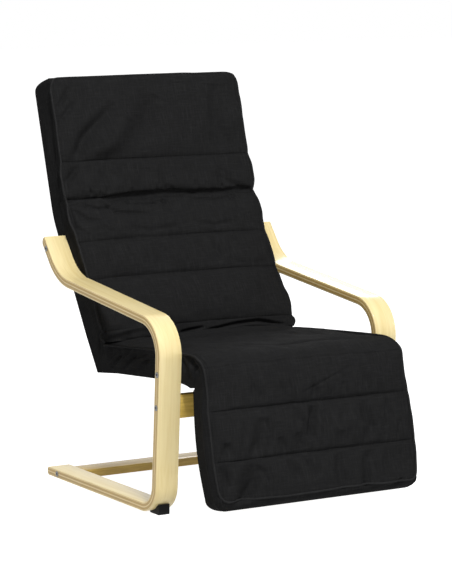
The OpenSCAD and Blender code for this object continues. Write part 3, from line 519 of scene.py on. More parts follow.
def side_strip(name, side, corner=1.6 * MM, low_r=8 * MM, end_r=6 * MM, tip_r=13 * MM):
    section = []
    for cx, cq, a0 in ((1, 0, -90), (1, 1, 0), (0, 1, 90), (0, 0, 180)):
        for j in range(4):
            a = math.radians(a0 + 30 * j)
            section.append((cx, cq, math.cos(a), math.sin(a)))
    points, maps, count = [], [], len(section)
    for p, h, run in strip_rings:
        start, end = run, STRIP_RUN - run
        q_low = eased(start, low_r)
        q_high = STRIP_T - eased(start, end_r) - eased(end, tip_r)
        near = min(start, end)
        ease = corner if near > SHARP_ENDS else corner * (0.35 + 0.3 * near / MM)
        for cx, cq, ax, aq in section:
            x = HALF_IN + ease + cx * (STRIP_W - 2 * ease) + ease * ax
            q = q_low + ease + cq * (q_high - q_low - 2 * ease) + ease * aq
            at = p - q * left_of(h)
            points.append((side * x, at[0], at[1]))
            maps.append((run, q))
    ends = [tuple(reversed(range(count))), tuple(range(len(points) - count, len(points)))]
    if side < 0:
        ends = [face[::-1] for face in ends]
    faces = grid_faces(len(strip_rings), count, flip=side < 0) + ends
    obj = mesh_piece(name, points, faces, laminate)
    layer = obj.data.uv_layers.new(name="ply")
    for loop in obj.data.loops:
        layer.data[loop.index].uv = maps[loop.vertex_index]
    return obj


BOLT_HOLE_R, BOLT_HOLE_DEEP, CUTTER_LONG = 7.25 * MM, 3.4 * MM, 10 * MM


def bolt_places():
    """Where the four bolt heads stand on a side frame, taken from the frame's own bolts."""
    bolts = frame["nodes"]["frame_bolts"]
    points = np.array([bolts.matrix_world @ v.co for v in bolts.data.vertices])
    heads = points[points[:, 0] > HALF_OUT - 1.5 * BOLT_HOLE_DEEP][:, 1:]
    places = []
    for point in heads:
        same_head = heads[np.linalg.norm(heads - point, axis=1) < 2 * BOLT_HOLE_R]
        middle = (same_head.min(0) + same_head.max(0)) / 2
        if all(np.linalg.norm(middle - place) > BOLT_HOLE_R for place in places):
            places.append(middle)
    return places


def bolt_cutter(side):
    made = bmesh.new()
    for y, z in bolt_places():
        place = Matrix.Translation((side * (HALF_OUT - BOLT_HOLE_DEEP + CUTTER_LONG / 2), y, z)) \
            @ Matrix.Rotation(math.radians(90), 4, 'Y')
        bmesh.ops.create_cone(made, cap_ends=True, segments=32, radius1=BOLT_HOLE_R,
                              radius2=BOLT_HOLE_R, depth=CUTTER_LONG, matrix=place)
    mesh = bpy.data.meshes.new("bolt_cutter")
    made.to_mesh(mesh)
    made.free()
    return linked("bolt_cutter", mesh)


def apply_modifiers(obj):
    settled = bpy.data.meshes.new_from_object(
        obj.evaluated_get(bpy.context.evaluated_depsgraph_get()))
    obj.modifiers.clear()
    old = obj.data
    obj.data = settled
    bpy.data.meshes.remove(old)


for word, side in (("left", 1), ("right", -1)):
    strip = side_strip("bent_side_" + word, side)
    cutter = bolt_cutter(side)
    cut = strip.modifiers.new("holes", 'BOOLEAN')
    cut.operation, cut.object, cut.solver = 'DIFFERENCE', cutter, 'EXACT'
    apply_modifiers(strip)
    bpy.data.objects.remove(cutter)
    shade(strip, HOLE_TURN)
    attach(strip, "frame")
    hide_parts("side_frame_" + word)
    print(strip.name, len(strip.data.polygons), "faces")

# %% [markdown]
# ## Softened copies of the plain pieces
# Sawn and pressed parts never have knife edges. Each plain piece is copied from
# the construction model, its flat faces are joined up again, and its edges get a
# small bevel, so that they catch the light as real edges do.

# %% Rails, slats, bars, plates and feet
MERGE, FLAT_TURN, BEVEL_TURN, SHARP_TURN = 0.01 * MM, 1.5, 40, 50


def softened(node, finish, ease, body):
    """A bevelled copy of one of the model's pieces, which takes that piece's place."""
    mesh = nodes[node].data.copy()
    obj = linked("soft_" + node, mesh)
    work = bmesh.new()
    work.from_mesh(mesh)
    bmesh.ops.remove_doubles(work, verts=work.verts, dist=MERGE)
    bmesh.ops.dissolve_limit(work, angle_limit=math.radians(FLAT_TURN), verts=work.verts, edges=work.edges)
    work.to_mesh(mesh)
    work.free()
    bevel = obj.modifiers.new("eased", 'BEVEL')
    bevel.width, bevel.segments, bevel.limit_method = ease, 2, 'ANGLE'
    bevel.angle_limit = math.radians(BEVEL_TURN)
    bevel.use_clamp_overlap = True
    bevel.harden_normals = False
    apply_modifiers(obj)
    shade(obj, SHARP_TURN)
    wear(obj, finish)
    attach(obj, body)
    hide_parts(node)


nodes = frame["nodes"]
for node in sorted(nodes):
    body = "footrest" if node.startswith("footrest") else "frame"
    if node.endswith("crossrail"):
        softened(node, golden, 1.2 * MM, body)
    elif "_rail_" in node:
        softened(node, rail_wood, 1.6 * MM, body)
    elif "_slat_" in node or node.endswith("_bar"):
        softened(node, slat_wood, 1.0 * MM, body)
    elif node.startswith("front_foot"):
        softened(node, plastic, 1.0 * MM, body)
    elif "plate" in node and "screws" not in node or "leaf" in node:
        softened(node, zinc, 0.4 * MM, body)
for node in ("hinge_rivet_left", "hinge_rivet_right", "frame_bolts", "barrel_nuts", "slat_screws",
             "footrest_slat_screws", "plate_screws", "footrest_plate_screws", "foot_screws"):
    wear(nodes[node], zinc)
wear(nodes["crossrail_dowels"], slat_wood)
print("softened pieces ready after", round(time.time() - started, 1), "s")

# %% [markdown]
# ## The padded cover, as a family of sections
# The cover is a sleeve: a thick quilted front, two side walls, and a hem that
# turns in behind the rails. Every section across it has the same shape, with
# other heights, so one function draws the section, and a list of stations says
# where each one stands. All sections have the same number of points, which makes
# the whole cover one even grid of cloth.

# %% One section of the cover
CLOTH_T, COVER_X, POCKET_X, HEM_X = 2.4 * MM, 272.7 * MM, 270.3 * MM, 192.7 * MM
PAD_Y = 19.3 * MM
FRONT_N, SIDE_N, HEM_N, TURN_N, INNER_N = 36, 9, 7, 5, 10
HALF_N = FRONT_N + 1 + SIDE_N + HEM_N + TURN_N + INNER_N
EDGE_COL = FRONT_N
LOW_COL = FRONT_N + SIDE_N
HEM_COL = LOW_COL + HEM_N
RING_N = 2 * HALF_N - 2


def half_section(edge, crown, out, rear, hem_x, edge_out=0.0):
    """Points from the front's middle round to the pocket's middle: x and y."""
    swell = max(0.0, out)
    edge_x = COVER_X + 0.4 * swell + edge_out
    even = np.linspace(0, 1, FRONT_N + 1)
    u = np.sin(even * math.pi / 2) * 0.35 + even * 0.65
    front = np.stack([u * edge_x, edge + crown * (1 - u ** 4)], 1)
    v = np.linspace(0, 1, SIDE_N + 1)[1:]
    y = edge + v * (-rear - edge)
    xs = [COVER_X, COVER_X + 0.6 * swell, COVER_X + out, edge_x]
    ys = [-rear, PAD_Y, (PAD_Y + edge) / 2, edge]
    side = np.stack([np.interp(y, ys, xs), y], 1)
    w = np.linspace(0, 1, HEM_N + 1)[1:]
    hem = np.stack([COVER_X + w * (hem_x - COVER_X), np.full(HEM_N, -rear)], 1)
    turn_y = CLOTH_T - rear
    inner = [[hem_x, turn_y], [(hem_x + POCKET_X) / 2, turn_y], [POCKET_X, turn_y],
             [POCKET_X, (turn_y + PAD_Y) / 2], [POCKET_X, PAD_Y]]
    inner += [[POCKET_X * (1 - f), PAD_Y] for f in np.linspace(0, 1, INNER_N + 1)[1:]]
    return np.concatenate([front, side, hem, np.array(inner)])


def whole_section(half):
    """The closed loop, from the pocket's middle over -X, the front and +X, back to it."""
    return np.concatenate([half[::-1] * np.array([-1, 1]), half[1:-1]])


# for every point of the loop, its place in the half section's list
COLUMN = np.concatenate([np.arange(HALF_N - 1, -1, -1), np.arange(1, HALF_N - 1)])
print("points in each section:", RING_N)

# %% [markdown]
# ## Stations along the back
# The back is sewn across in six channels. Between two seams the filling swells a
# little, and at a seam it is drawn down. The fourth seam from the seat lies in a
# fold, because the sleeve is longer than the rails behind it: the channel above
# hangs over it. The closed end is a run of sections that draw together.

# %% The back's stations
BACK_EDGE, BACK_CROWN, BACK_REAR = 59.3 * MM, 15 * MM, 29.7 * MM
CORNER_REAR = 25.35 * MM
SEAM_DIP, SIDE_DRAW, END_PAD = 4 * MM, 3 * MM, 33 * MM
DEEP_SEAM, DEEP_DIP, FOOT_DIP = 4, 5 * MM, 4 * MM
ARM_FROM, ARM_TO, FREE_FADE, EDGE_OUT = 120 * MM, 350 * MM, 30 * MM, 7 * MM
MITRE_FADE, FOLD_REACH, BACK_CORNER_R = 89 * MM, 14 * MM, 18 * MM
POCKET_PLAY, PARTING, END_STEP, LAST_GAP = 0.3 * MM, 0.15 * MM, 0.4 * MM, 2 * MM
POCKET_END = BACK_LEN + POCKET_PLAY
BACK_COVER = BACK_LEN + END_PAD + POCKET_PLAY
BACK_SEAMS = [share * BACK_COVER for share in (0, 0.05, 0.264, 0.4, 0.574, 0.702, 1)]


def puff(f, power=0.6):
    return math.sin(math.pi * min(max(f, 0.0), 1.0)) ** power


def channel_share(s, seams):
    """Where a place lies in its channel, from 0 at one seam to 1 at the next."""
    for low, high in zip(seams, seams[1:]):
        if s <= high + 1e-9:
            return (s - low) / (high - low)
    return 1.0


def steps_between(seams, pitch):
    """Places along a piece, about one pitch apart, with every seam among them."""
    places = [seams[0]]
    for low, high in zip(seams, seams[1:]):
        count = max(2, round((high - low) / pitch))
        places += [low + (high - low) * i / count for i in range(1, count + 1)]
    return places


def set_ring(section, point, h, slope=0.0, low_point=None):
    """A section stood on the middle line. Below the pad it runs to a given low point."""
    x, y = section[:, 0], section[:, 1]
    normal, along = left_of(h), heading(h)
    at = point + slope * y[:, None] * along + y[:, None] * normal
    if low_point is not None:
        share = np.clip((PAD_Y - y) / PAD_Y, 0, 1)[:, None]
        at = np.where(y[:, None] < PAD_Y, (point + PAD_Y * normal) * (1 - share) + low_point * share, at)
    return np.column_stack([x, at])


def end_width(f, corner_r):
    r = min(corner_r, END_PAD)
    d = max(0.0, f * END_PAD - END_PAD + r)
    return 1 - (r - math.sqrt(max(0.0, r * r - d * d))) / COVER_X


def closed_end(half, f, corner_r, about):
    """A section of a closed end: narrower, and drawn together towards its middle."""
    made = half.copy()
    made[HEM_COL:, 1] = half[HEM_COL, 1]
    keep_y = (1 - f ** 3) ** 0.55
    made[:, 0] *= end_width(f, corner_r)
    made[:, 1] = about + (made[:, 1] - about) * keep_y
    return made


END_SHARES = [0.0, 0.15, 0.3, 0.45, 0.58, 0.7, 0.8, 0.88, 0.94, 0.98, 1.0]


def back_heights(s):
    """Height of the front's edge, and the crown over it, at a distance along the back."""
    channel = int(np.searchsorted(BACK_SEAMS, s - 1e-9)) - 1
    f = channel_share(s, BACK_SEAMS)
    if channel == len(BACK_SEAMS) - 2:
        swell = puff(min(f, 0.9))
    elif channel <= 0:
        foot = math.sin(math.pi / 2 * max(0.0, f)) ** 0.5
        return (BACK_EDGE - SEAM_DIP - FOOT_DIP * (1 - foot),
                BACK_CROWN * (0.1 + 0.4 * foot))
    else:
        swell = puff(f ** 0.6 if channel == DEEP_SEAM else f)
    near_fold = math.exp(-abs(s - BACK_SEAMS[DEEP_SEAM]) / FOLD_REACH)
    edge = BACK_EDGE - SEAM_DIP * (1 - swell) - DEEP_DIP / 2 * near_fold
    return edge, BACK_CROWN * (0.5 + 0.5 * swell) - DEEP_DIP / 2 * near_fold


def back_edge_out(s):
    """How far the edge stands out beside the arms' free lengths, above and below them."""
    f = channel_share(s, BACK_SEAMS)
    free = max(0.0, 1 - max(0.0, s - ARM_FROM) / FREE_FADE) if s < (ARM_FROM + ARM_TO) / 2 \
        else max(0.0, 1 - max(0.0, ARM_TO - s) / FREE_FADE)
    return EDGE_OUT * puff(f) * free if s < BACK_SEAMS[-2] else 0.0


class Sleeve:
    """The rings of a cover in order, each with its distance along the cloth."""

    def __init__(self):
        self.rings, self.places = [], []

    def add(self, place, half, *where):
        self.rings.append(set_ring(whole_section(half), *where))
        self.places.append(place)

    def grid(self):
        return np.array(self.rings), np.array(self.places)


def back_rings(pitch=8 * MM):
    """Rings from the seat to the closed end at the head."""
    sleeve = Sleeve()
    about = (BACK_EDGE + BACK_CROWN - BACK_REAR) / 2
    for s in steps_between(BACK_SEAMS, pitch):
        if s >= POCKET_END - LAST_GAP:
            break
        near = max(0.0, 1 - s / MITRE_FADE)
        rear = BACK_REAR + (CORNER_REAR - BACK_REAR) * near
        half = half_section(*back_heights(s), -SIDE_DRAW, rear, HEM_X, edge_out=back_edge_out(s))
        sleeve.add(s, half, *back_line(s + PARTING), near * math.tan(math.radians(MITRE)))
    half = half_section(*back_heights(POCKET_END), -SIDE_DRAW, BACK_REAR, HEM_X)
    sleeve.add(POCKET_END, half, *back_line(POCKET_END))
    for f in END_SHARES:
        s = POCKET_END + f * END_PAD + END_STEP * (1 - f)
        sleeve.add(s, closed_end(half, f, BACK_CORNER_R, about), *back_line(s))
    return sleeve.grid()


back_grid, back_places = back_rings()
print("back grid:", back_grid.shape, "cover length:", round(BACK_COVER / MM, 1), "mm")

# %% [markdown]
# ## Stations over the seat, the knees and the footrest
# This is one length of cloth. Over the seat it stands square to the rails, at the
# hinge it fans round like the pages of a book, and down the footrest it stands
# square again. Two seams cross the footrest, and one crosses the knees.

# %% The seat's and footrest's stations
SEAT_EDGE, SEAT_CROWN, SEAT_REAR, HEM_DROP = 47.3 * MM, 5 * MM, 21 * MM, 12 * MM
FOOT_EDGE, FOOT_CROWN, FOOT_REAR, FOOT_SLACK = 51.3 * MM, 21 * MM, 14.5 * MM, 18 * MM
SIDE_SWELL, FOOT_CORNER_R = 16 * MM, 30 * MM
SEAT_FROM, FOOT_FROM, KNEE_PANEL, HIGH_SEAM, LOW_SEAM = 22 * MM, 36 * MM, 56 * MM, 92 * MM, 209 * MM
FOOT_POCKET_END = FOOT_LEN + POCKET_PLAY
FOOT_COVER = FOOT_LEN + END_PAD + POCKET_PLAY
FOOT_SEAMS = [FOOT_FROM - KNEE_PANEL, HIGH_SEAM, LOW_SEAM, FOOT_COVER]
PINCH = HINGE - 31 * MM * heading(FOOT_HEAD)
KNEE_RUN, KNEE_SEAM, KNEE_PAD, KNEE_OUT, KNEE_HEM_X = 74 * MM, 0.12, 32 * MM, 4 * MM, 262 * MM
FOLD_TURN, FOLD_EDGE = [0, 0.2, 0.4, 0.6, 0.8, 1], [1, 0.90, 0.77, 0.68, 0.68, 0.74]
FOLD_CROWN = [0.75, 0.65, 0.56, 0.52, 0.41, 0.28]
SEAT_PARTS = SEAT_LEN - PARTING


def seat_heights(s):
    """At a distance from the hinge: edge, crown, depth of the hem, share of the mitre."""
    f = (s - SEAT_FROM) / (SEAT_PARTS - SEAT_FROM)
    swell = puff(0.08 + 0.92 * max(0.0, f), 0.4)
    near = max(0.0, 1 - (SEAT_LEN - s) / MITRE_FADE)
    rear = SEAT_REAR + (CORNER_REAR - SEAT_REAR) * near + HEM_DROP * (1 - max(0.0, f)) ** 12
    return SEAT_EDGE - SEAM_DIP * (1 - swell), SEAT_CROWN * (0.2 + 0.8 * swell), rear, near


def foot_heights(s):
    """At a distance from the hinge: edge, crown, depth of the hem, swell of the sides."""
    swell = puff(channel_share(s, FOOT_SEAMS))
    along = (s - FOOT_FROM) / (FOOT_COVER - FOOT_FROM)
    out = SIDE_SWELL * puff(0.06 + 0.91 * max(0.0, along), 0.7)
    rear = FOOT_REAR + FOOT_SLACK * puff(along, 1.0)
    return FOOT_EDGE - SEAM_DIP / 2 * (1 - swell), FOOT_CROWN * (0.55 + 0.45 * swell), rear, out


LOW_SEAT = HINGE + SEAT_FROM * heading(SEAT_HEAD) - (SEAT_REAR + HEM_DROP) * left_of(SEAT_HEAD)
LOW_FOOT = HINGE - FOOT_FROM * heading(FOOT_HEAD) - FOOT_REAR * left_of(FOOT_HEAD)


def low_path(t):
    """The hem's way from the seat down to the pinch and on to the footrest."""
    if t < 0.5:
        return LOW_SEAT + (PINCH - LOW_SEAT) * (2 * t) ** 1.3
    return PINCH + (LOW_FOOT - PINCH) * (2 * t - 1) ** 0.8


def foot_line(s):
    return HINGE - s * heading(FOOT_HEAD), FOOT_HEAD


def foot_half(s):
    edge, crown, rear, out = foot_heights(s)
    return half_section(edge, crown, out, rear, HEM_X)


def knee_rings(sleeve):
    """The rings that fan round the hinge: three parts, with shares of their own."""
    edge_0, crown_0 = seat_heights(SEAT_FROM)[:2]
    edge_1, crown_1, _, out_1 = foot_heights(FOOT_FROM)
    steps = [("seat", f) for f in (0.66, 0.33)] + [("turn", f) for f in np.linspace(1, 0, 11)] \
        + [("foot", f) for f in (0.25, 0.5, 0.75)]
    for i, (part, f) in enumerate(steps):
        t = (i + 1) / (len(steps) + 1)
        a = {"seat": 1.0, "turn": f, "foot": 0.0}[part]
        edge = PAD_Y + KNEE_PAD * np.interp(a, FOLD_TURN, FOLD_EDGE)
        crown = FOOT_CROWN * np.interp(a, FOLD_TURN, FOLD_CROWN)
        point, h, out = HINGE, FOOT_HEAD + (SEAT_HEAD - FOOT_HEAD) * a, KNEE_OUT * (1 - a)
        if part == "seat":
            point, edge = HINGE + f * SEAT_FROM * heading(SEAT_HEAD), edge + (edge_0 - edge) * f
            crown, out = crown + (crown_0 - crown) * f, -SIDE_DRAW * f
        elif part == "foot":
            point = HINGE - f * FOOT_FROM * heading(FOOT_HEAD)
            edge, crown = edge + (edge_1 - edge) * f, crown + (crown_1 - crown) * f
            out = KNEE_OUT + (out_1 - KNEE_OUT) * f
        hem_x = HEM_X + (KNEE_HEM_X - HEM_X) * puff(0.04 + 0.92 * t, 0.5)
        place = {"seat": -f * SEAT_FROM, "turn": (1 - a) * KNEE_RUN, "foot": KNEE_RUN + f * FOOT_FROM}[part]
        sleeve.add(place, half_section(edge, crown, out, 0.0, hem_x), point, h, 0.0, low_path(t))


def leg_rings(pitch=8 * MM):
    """Rings from the seat's rear edge to the end of the footrest."""
    sleeve = Sleeve()
    for s in np.linspace(SEAT_PARTS, SEAT_FROM, round((SEAT_PARTS - SEAT_FROM) / pitch) + 1):
        edge, crown, rear, near = seat_heights(s)
        half = half_section(edge, crown, -SIDE_DRAW, rear, HEM_X)
        sleeve.add(-s, half, HINGE + s * heading(SEAT_HEAD), SEAT_HEAD,
                   -near * math.tan(math.radians(MITRE)))
    knee_rings(sleeve)
    for s in steps_between([FOOT_FROM] + FOOT_SEAMS[1:], pitch):
        if s >= FOOT_POCKET_END - LAST_GAP:
            break
        sleeve.add(KNEE_RUN + s, foot_half(s), *foot_line(s))
    half = foot_half(FOOT_POCKET_END)
    sleeve.add(KNEE_RUN + FOOT_POCKET_END, half, *foot_line(FOOT_POCKET_END))
    about = (FOOT_EDGE + FOOT_CROWN - FOOT_REAR) / 2
    for f in END_SHARES:
        s = FOOT_POCKET_END + f * END_PAD + END_STEP * (1 - f)
        sleeve.add(KNEE_RUN + s, closed_end(half, f, FOOT_CORNER_R, about), *foot_line(s))
    return sleeve.grid()


leg_grid, leg_places = leg_rings()
leg_seams = [(1 - KNEE_SEAM) * KNEE_RUN, KNEE_RUN + HIGH_SEAM, KNEE_RUN + LOW_SEAM]
print("seat and footrest grid:", leg_grid.shape)

# %% [markdown]
# ## From the coarse cloth to the finished surface
# The grid of sections is even and smooth, so a curve through its points gives as
# many more as the seams need. Its fullness comes from the sections themselves, and
# no simulation is run. Each fine point then moves along its own normal:
# down into a seam, up and down in the small puckers that a sewn line pulls, and
# along the long soft folds that a used cover shows.

# %% Finer grid and its normals
SEAM_ROWS, NEAREST_ROWS = [side * d * MM for side in (-1, 1) for d in (0.6, 1.3, 2.2, 3.4)], 0.25 * MM


def curve_through(values, at, wrap=False):
    """Values of a smooth curve through rows of points, at fractions of a row."""
    n = len(values)
    i = np.floor(at).astype(int)
    f = at - i
    pick = (lambda k: values[k % n]) if wrap else (lambda k: values[np.clip(k, 0, n - 1)])
    p0, p1, p2, p3 = pick(i - 1), pick(i), pick(i + 1), pick(i + 2)
    f = f.reshape((-1,) + (1,) * (values.ndim - 1))
    return p1 + 0.5 * f * (p2 - p0 + f * (2 * p0 - 5 * p1 + 4 * p2 - p3 + f * (3 * (p1 - p2) + p3 - p0)))


def fine_places(places, seams, pitch):
    made = [places[0]]
    for low, high in zip(places, places[1:]):
        count = max(1, int(math.ceil((high - low) / pitch - 1e-6)))
        made += [low + (high - low) * k / count for k in range(1, count + 1)]
    for seam in seams:
        made += [seam + d for d in SEAM_ROWS]
    made = np.unique(np.round(np.array(made), 6))
    return made[np.concatenate([[True], np.diff(made) > NEAREST_ROWS])]


def fine_columns(parts=3):
    """Column numbers: thirds over the front and the walls, whole ones in the pocket."""
    middle = HALF_N - 1
    shown = np.arange(parts * (middle - LOW_COL), parts * (middle + LOW_COL) + 1) / parts
    return np.concatenate([np.arange(0, middle - LOW_COL), shown,
                           np.arange(middle + LOW_COL + 1, RING_N)])


FINE_COLUMNS = fine_columns()
FINE_MIDDLE = int(np.argmin(np.abs(FINE_COLUMNS - (HALF_N - 1))))
FINE_KINDS = np.interp(FINE_COLUMNS, np.arange(RING_N + 1), np.append(COLUMN, COLUMN[0]))


def fine_grid(grid, places, seams, pitch=3 * MM):
    """The cloth with more rows and columns, and the place of each row along it."""
    at = fine_places(places, seams, pitch)
    tall = curve_through(grid, np.interp(at, places, np.arange(len(places))))
    return curve_through(tall.swapaxes(0, 1), FINE_COLUMNS, wrap=True).swapaxes(0, 1), at


def normals_of(grid, flip):
    across = np.roll(grid, -1, 1) - np.roll(grid, 1, 1)
    along = np.gradient(grid, axis=0)
    made = np.cross(across, along)
    made /= np.maximum(np.linalg.norm(made, axis=2, keepdims=True), 1e-12)
    return -made if flip else made


def across_from_middle(grid):
    """Distance across the cloth from the front's middle, in metres, with its sign."""
    lengths = np.linalg.norm(np.diff(grid, axis=1), axis=2)
    run = np.concatenate([np.zeros((len(grid), 1)), np.cumsum(lengths, 1)], 1)
    return run - run[:, FINE_MIDDLE:FINE_MIDDLE + 1]


# %% [markdown]
# ## What a used cover shows
# Four things are added as small heights: grooves where the cloth is sewn, seeded
# puckers beside each groove and edge, soft waves between them, and single folds
# given in lists. A fold is a path, in millimetres across and along the cloth, with
# its width, its height and, where one side hangs over the other, its lip. Folds
# die away at the quiet seams, and all heights do at the ends and behind the rails.

# %% Puckers, folds and creases
GROOVE_W, WANDER, EDGE_GROOVE_AT, EDGE_GROOVE_W = 1.9 * MM, 0.7 * MM, 4.6 * MM, 1.7 * MM
EDGE_GROOVE, EDGE_PUCKER = 2.0 * MM, 1.2 * MM
WALL_WAVE, SOFT_WAVE, FINE_WAVE, LATTICE = 2.0 * MM, 4.5 * MM, 2.0 * MM, 97


def soft_noise(u, v, seed):
    """Smooth noise from -1 to 1 over a lattice of seeded values."""
    lattice = np.random.default_rng(seed).uniform(-1, 1, (LATTICE, LATTICE))
    i, j = np.floor(u).astype(int), np.floor(v).astype(int)
    f, g = u - i, v - j
    f, g = f * f * (3 - 2 * f), g * g * (3 - 2 * g)

    def at(a, b):
        return lattice[a % LATTICE, b % LATTICE]
    return (at(i, j) * (1 - f) + at(i + 1, j) * f) * (1 - g) \
        + (at(i, j + 1) * (1 - f) + at(i + 1, j + 1) * f) * g


def crease(across, along, path, width, height, lip=0.0):
    """A fold along a bent line: a ridge, or a valley where the height is negative.

    A lip raises the cloth on the line's left and sinks it on the right, as where
    one part of a cover hangs over the next.
    """
    points = np.array(path) * MM
    reach = 3 * width * MM
    low, high = points.min(0) - reach, points.max(0) + reach
    near = (across > low[0]) & (across < high[0]) & (along > low[1]) & (along < high[1])
    u, v = across[near], along[near]
    best, side, place = np.full(u.shape, 1e9), np.zeros(u.shape), np.zeros(u.shape)
    lengths = np.hypot(*np.diff(points, axis=0).T)
    run = 0.0
    for a, b, length in zip(points, points[1:], lengths):
        way = (b - a) / length
        t = np.clip(((u - a[0]) * way[0] + (v - a[1]) * way[1]) / length, 0, 1)
        du, dv = u - a[0] - t * length * way[0], v - a[1] - t * length * way[1]
        d = np.hypot(du, dv)
        nearer = d < best
        best = np.where(nearer, d, best)
        side = np.where(nearer, way[0] * dv - way[1] * du, side)
        place = np.where(nearer, (run + t * length) / lengths.sum(), place)
        run += length
    fade = np.sin(math.pi * place) ** 0.5
    d = best / (width * MM)
    made = np.zeros_like(across)
    made[near] = MM * fade * (height * np.exp(-d ** 2)
                              + lip * np.tanh(side / (0.6 * width * MM)) * np.exp(-(d / 2.2) ** 2))
    return made


def sewn_hold(along, seams, reach=18 * MM):
    """How freely the cloth folds: wholly between the seams, and little where it is sewn."""
    free = np.ones_like(along)
    for seam in seams:
        free *= 1 - 0.8 * np.exp(-((along - seam) / reach) ** 2)
    return free


def small_folds(seed, seam, count, width, longs=(35, 90), wides=(5, 10)):
    """Short seeded folds that run away from a seam, on both sides of it."""
    rng = np.random.default_rng(seed)
    made = []
    for _ in range(count):
        x, way = rng.uniform(-width, width), rng.choice((-1, 1))
        start, length, lean = rng.uniform(3, 10), rng.uniform(*longs), rng.uniform(-0.4, 0.4)
        path = [(x + lean * d, seam / MM + way * (start + d)) for d in (0, length / 2, length)]
        made.append((path, rng.uniform(*wides), rng.uniform(-4.6, -1.6), rng.uniform(-0.6, 0.6)))
    return made


def sewn_relief(across, along, seams, edge_at, seed, depths):
    """Grooves of the seams, and the small puckers beside seams and edges."""
    on_front = np.clip((edge_at - np.abs(across)) / (4 * MM), 0, 1)
    high = np.zeros_like(across)
    for k, (seam, depth) in enumerate(zip(seams, depths)):
        d = along - seam
        wander = soft_noise(across / (60 * MM), across * 0 + k * 3.3, seed + k) * WANDER
        high -= depth * MM * np.exp(-((d + wander) / GROOVE_W) ** 2) * on_front
        for size, reach, share in ((13, 10, 0.45), (29, 22, 0.8)):
            pucker = soft_noise(across / (size * MM), d / (60 * MM) + 5 * k, seed + 10 + k)
            high += share * MM * pucker * np.exp(-np.abs(d) / (reach * MM)) * on_front
    from_edge = np.abs(across) - edge_at
    pucker = soft_noise(along / (21 * MM), np.sign(across) * 4 + across / (60 * MM), seed + 40)
    high += EDGE_PUCKER * pucker * np.exp(-np.abs(from_edge) / (20 * MM))
    high -= EDGE_GROOVE * np.exp(-((np.abs(from_edge) - EDGE_GROOVE_AT) / EDGE_GROOVE_W) ** 2)
    on_wall = np.clip(from_edge / (8 * MM), 0, 1)
    high += WALL_WAVE * on_wall * soft_noise(along / (34 * MM), from_edge / (80 * MM) + 7, seed + 50)
    high += SOFT_WAVE * soft_noise(across / (85 * MM) + 9, along / (62 * MM) + 4, seed + 60) * on_front
    high += FINE_WAVE * soft_noise(across / (30 * MM) + 9, along / (48 * MM) + 4, seed + 70) * on_front
    return high


def whole_relief(grid, at, seams, seed, depths, strokes, strength, held):
    """Seams, puckers and folds together, the folds held back at some of the seams."""
    across = across_from_middle(grid)
    along = np.repeat(at[:, None], across.shape[1], 1)
    relief = sewn_relief(across, along, seams, COVER_X, seed, depths)
    folds = np.zeros_like(relief)
    for stroke in strokes:
        folds += crease(across, along, *stroke)
    return relief + strength * folds * sewn_hold(along, held)


def shown_share(at, start, start_fade, end, end_fade=14 * MM):
    """The relief's share: whole on front and walls, fading at the hem and both ends."""
    front = np.clip((LOW_COL - 1 - FINE_KINDS) / 3, 0, 1)
    rows = np.clip((at - start) / start_fade, 0, 1) * np.clip((end - at) / end_fade, 0, 1)
    return rows[:, None] * front[None, :]


print("puckers, folds and creases ready")

# %% [markdown]
# ## Piping
# A thin cord covered in the same cloth is sewn into the seam between the front
# and the side walls. It runs up one edge, round the corner, across the closed
# end and down the other edge. A small tube follows points of the finished cloth.

# %% Piping tube
PIPING_R, PIPING_LIFT, PIPING_SMOOTH, CORNER_N, OVER_N = 2.7 * MM, 0.9 * MM, 12, 18, 60


def sample(field, rows, columns):
    """Points of a fine grid at fractions of a row and of a coarse column."""
    columns = np.interp(columns, FINE_COLUMNS, np.arange(len(FINE_COLUMNS)))
    i, j = np.floor(rows).astype(int), np.floor(columns).astype(int)
    f, g = (rows - i)[:, None], (columns - j)[:, None]
    i2, j2 = np.minimum(i + 1, len(field) - 1), (j + 1) % field.shape[1]
    i, j = np.minimum(i, len(field) - 1), j % field.shape[1]
    return (field[i, j] * (1 - g) + field[i, j2] * g) * (1 - f) \
        + (field[i2, j] * (1 - g) + field[i2, j2] * g) * f


def piping_path(at, pocket_end, turn_before, over, corner=0.12):
    """Row places and column numbers: up the -X edge, across the end, down the +X edge.

    It turns a little before the pocket's end, and crosses a share of the end's pad.
    """
    end_from, end_at, middle = pocket_end - turn_before, pocket_end + over * END_PAD, HALF_N - 1
    straight = [(s, 1.0) for s in at[at < end_from]]
    round_it = [(end_from + (end_at - end_from) * math.sin(a), 1 - corner * (1 - math.cos(a)))
                for a in np.linspace(0, math.pi / 2, CORNER_N)[1:]]
    half = straight + round_it + [(end_at, u) for u in np.linspace(1 - corner, 0, OVER_N)[1:]]
    left = [(s, middle - EDGE_COL * u) for s, u in half]
    right = [(s, middle + EDGE_COL * u) for s, u in reversed(half[:-1])]
    return np.array(left + right)


def tube(path, normal, radius, sides=8):
    """Points and faces of a round tube along a path, open at both ends."""
    way = np.gradient(path, axis=0)
    way /= np.maximum(np.linalg.norm(way, axis=1, keepdims=True), 1e-12)
    out = normal - way * np.sum(normal * way, axis=1, keepdims=True)
    out /= np.maximum(np.linalg.norm(out, axis=1, keepdims=True), 1e-12)
    side = np.cross(way, out)
    turn = np.linspace(0, 2 * math.pi, sides, endpoint=False)
    points = path[:, None] + radius * (np.cos(turn)[None, :, None] * out[:, None]
                                       + np.sin(turn)[None, :, None] * side[:, None])
    run = np.concatenate([[0], np.cumsum(np.linalg.norm(np.diff(path, axis=0), axis=1))])
    flat = np.stack([np.repeat(turn[None] * radius, len(path), 0), np.repeat(run[:, None], sides, 1)], 2)
    return points.reshape(-1, 3), grid_faces(len(path), sides), flat.reshape(-1, 2)


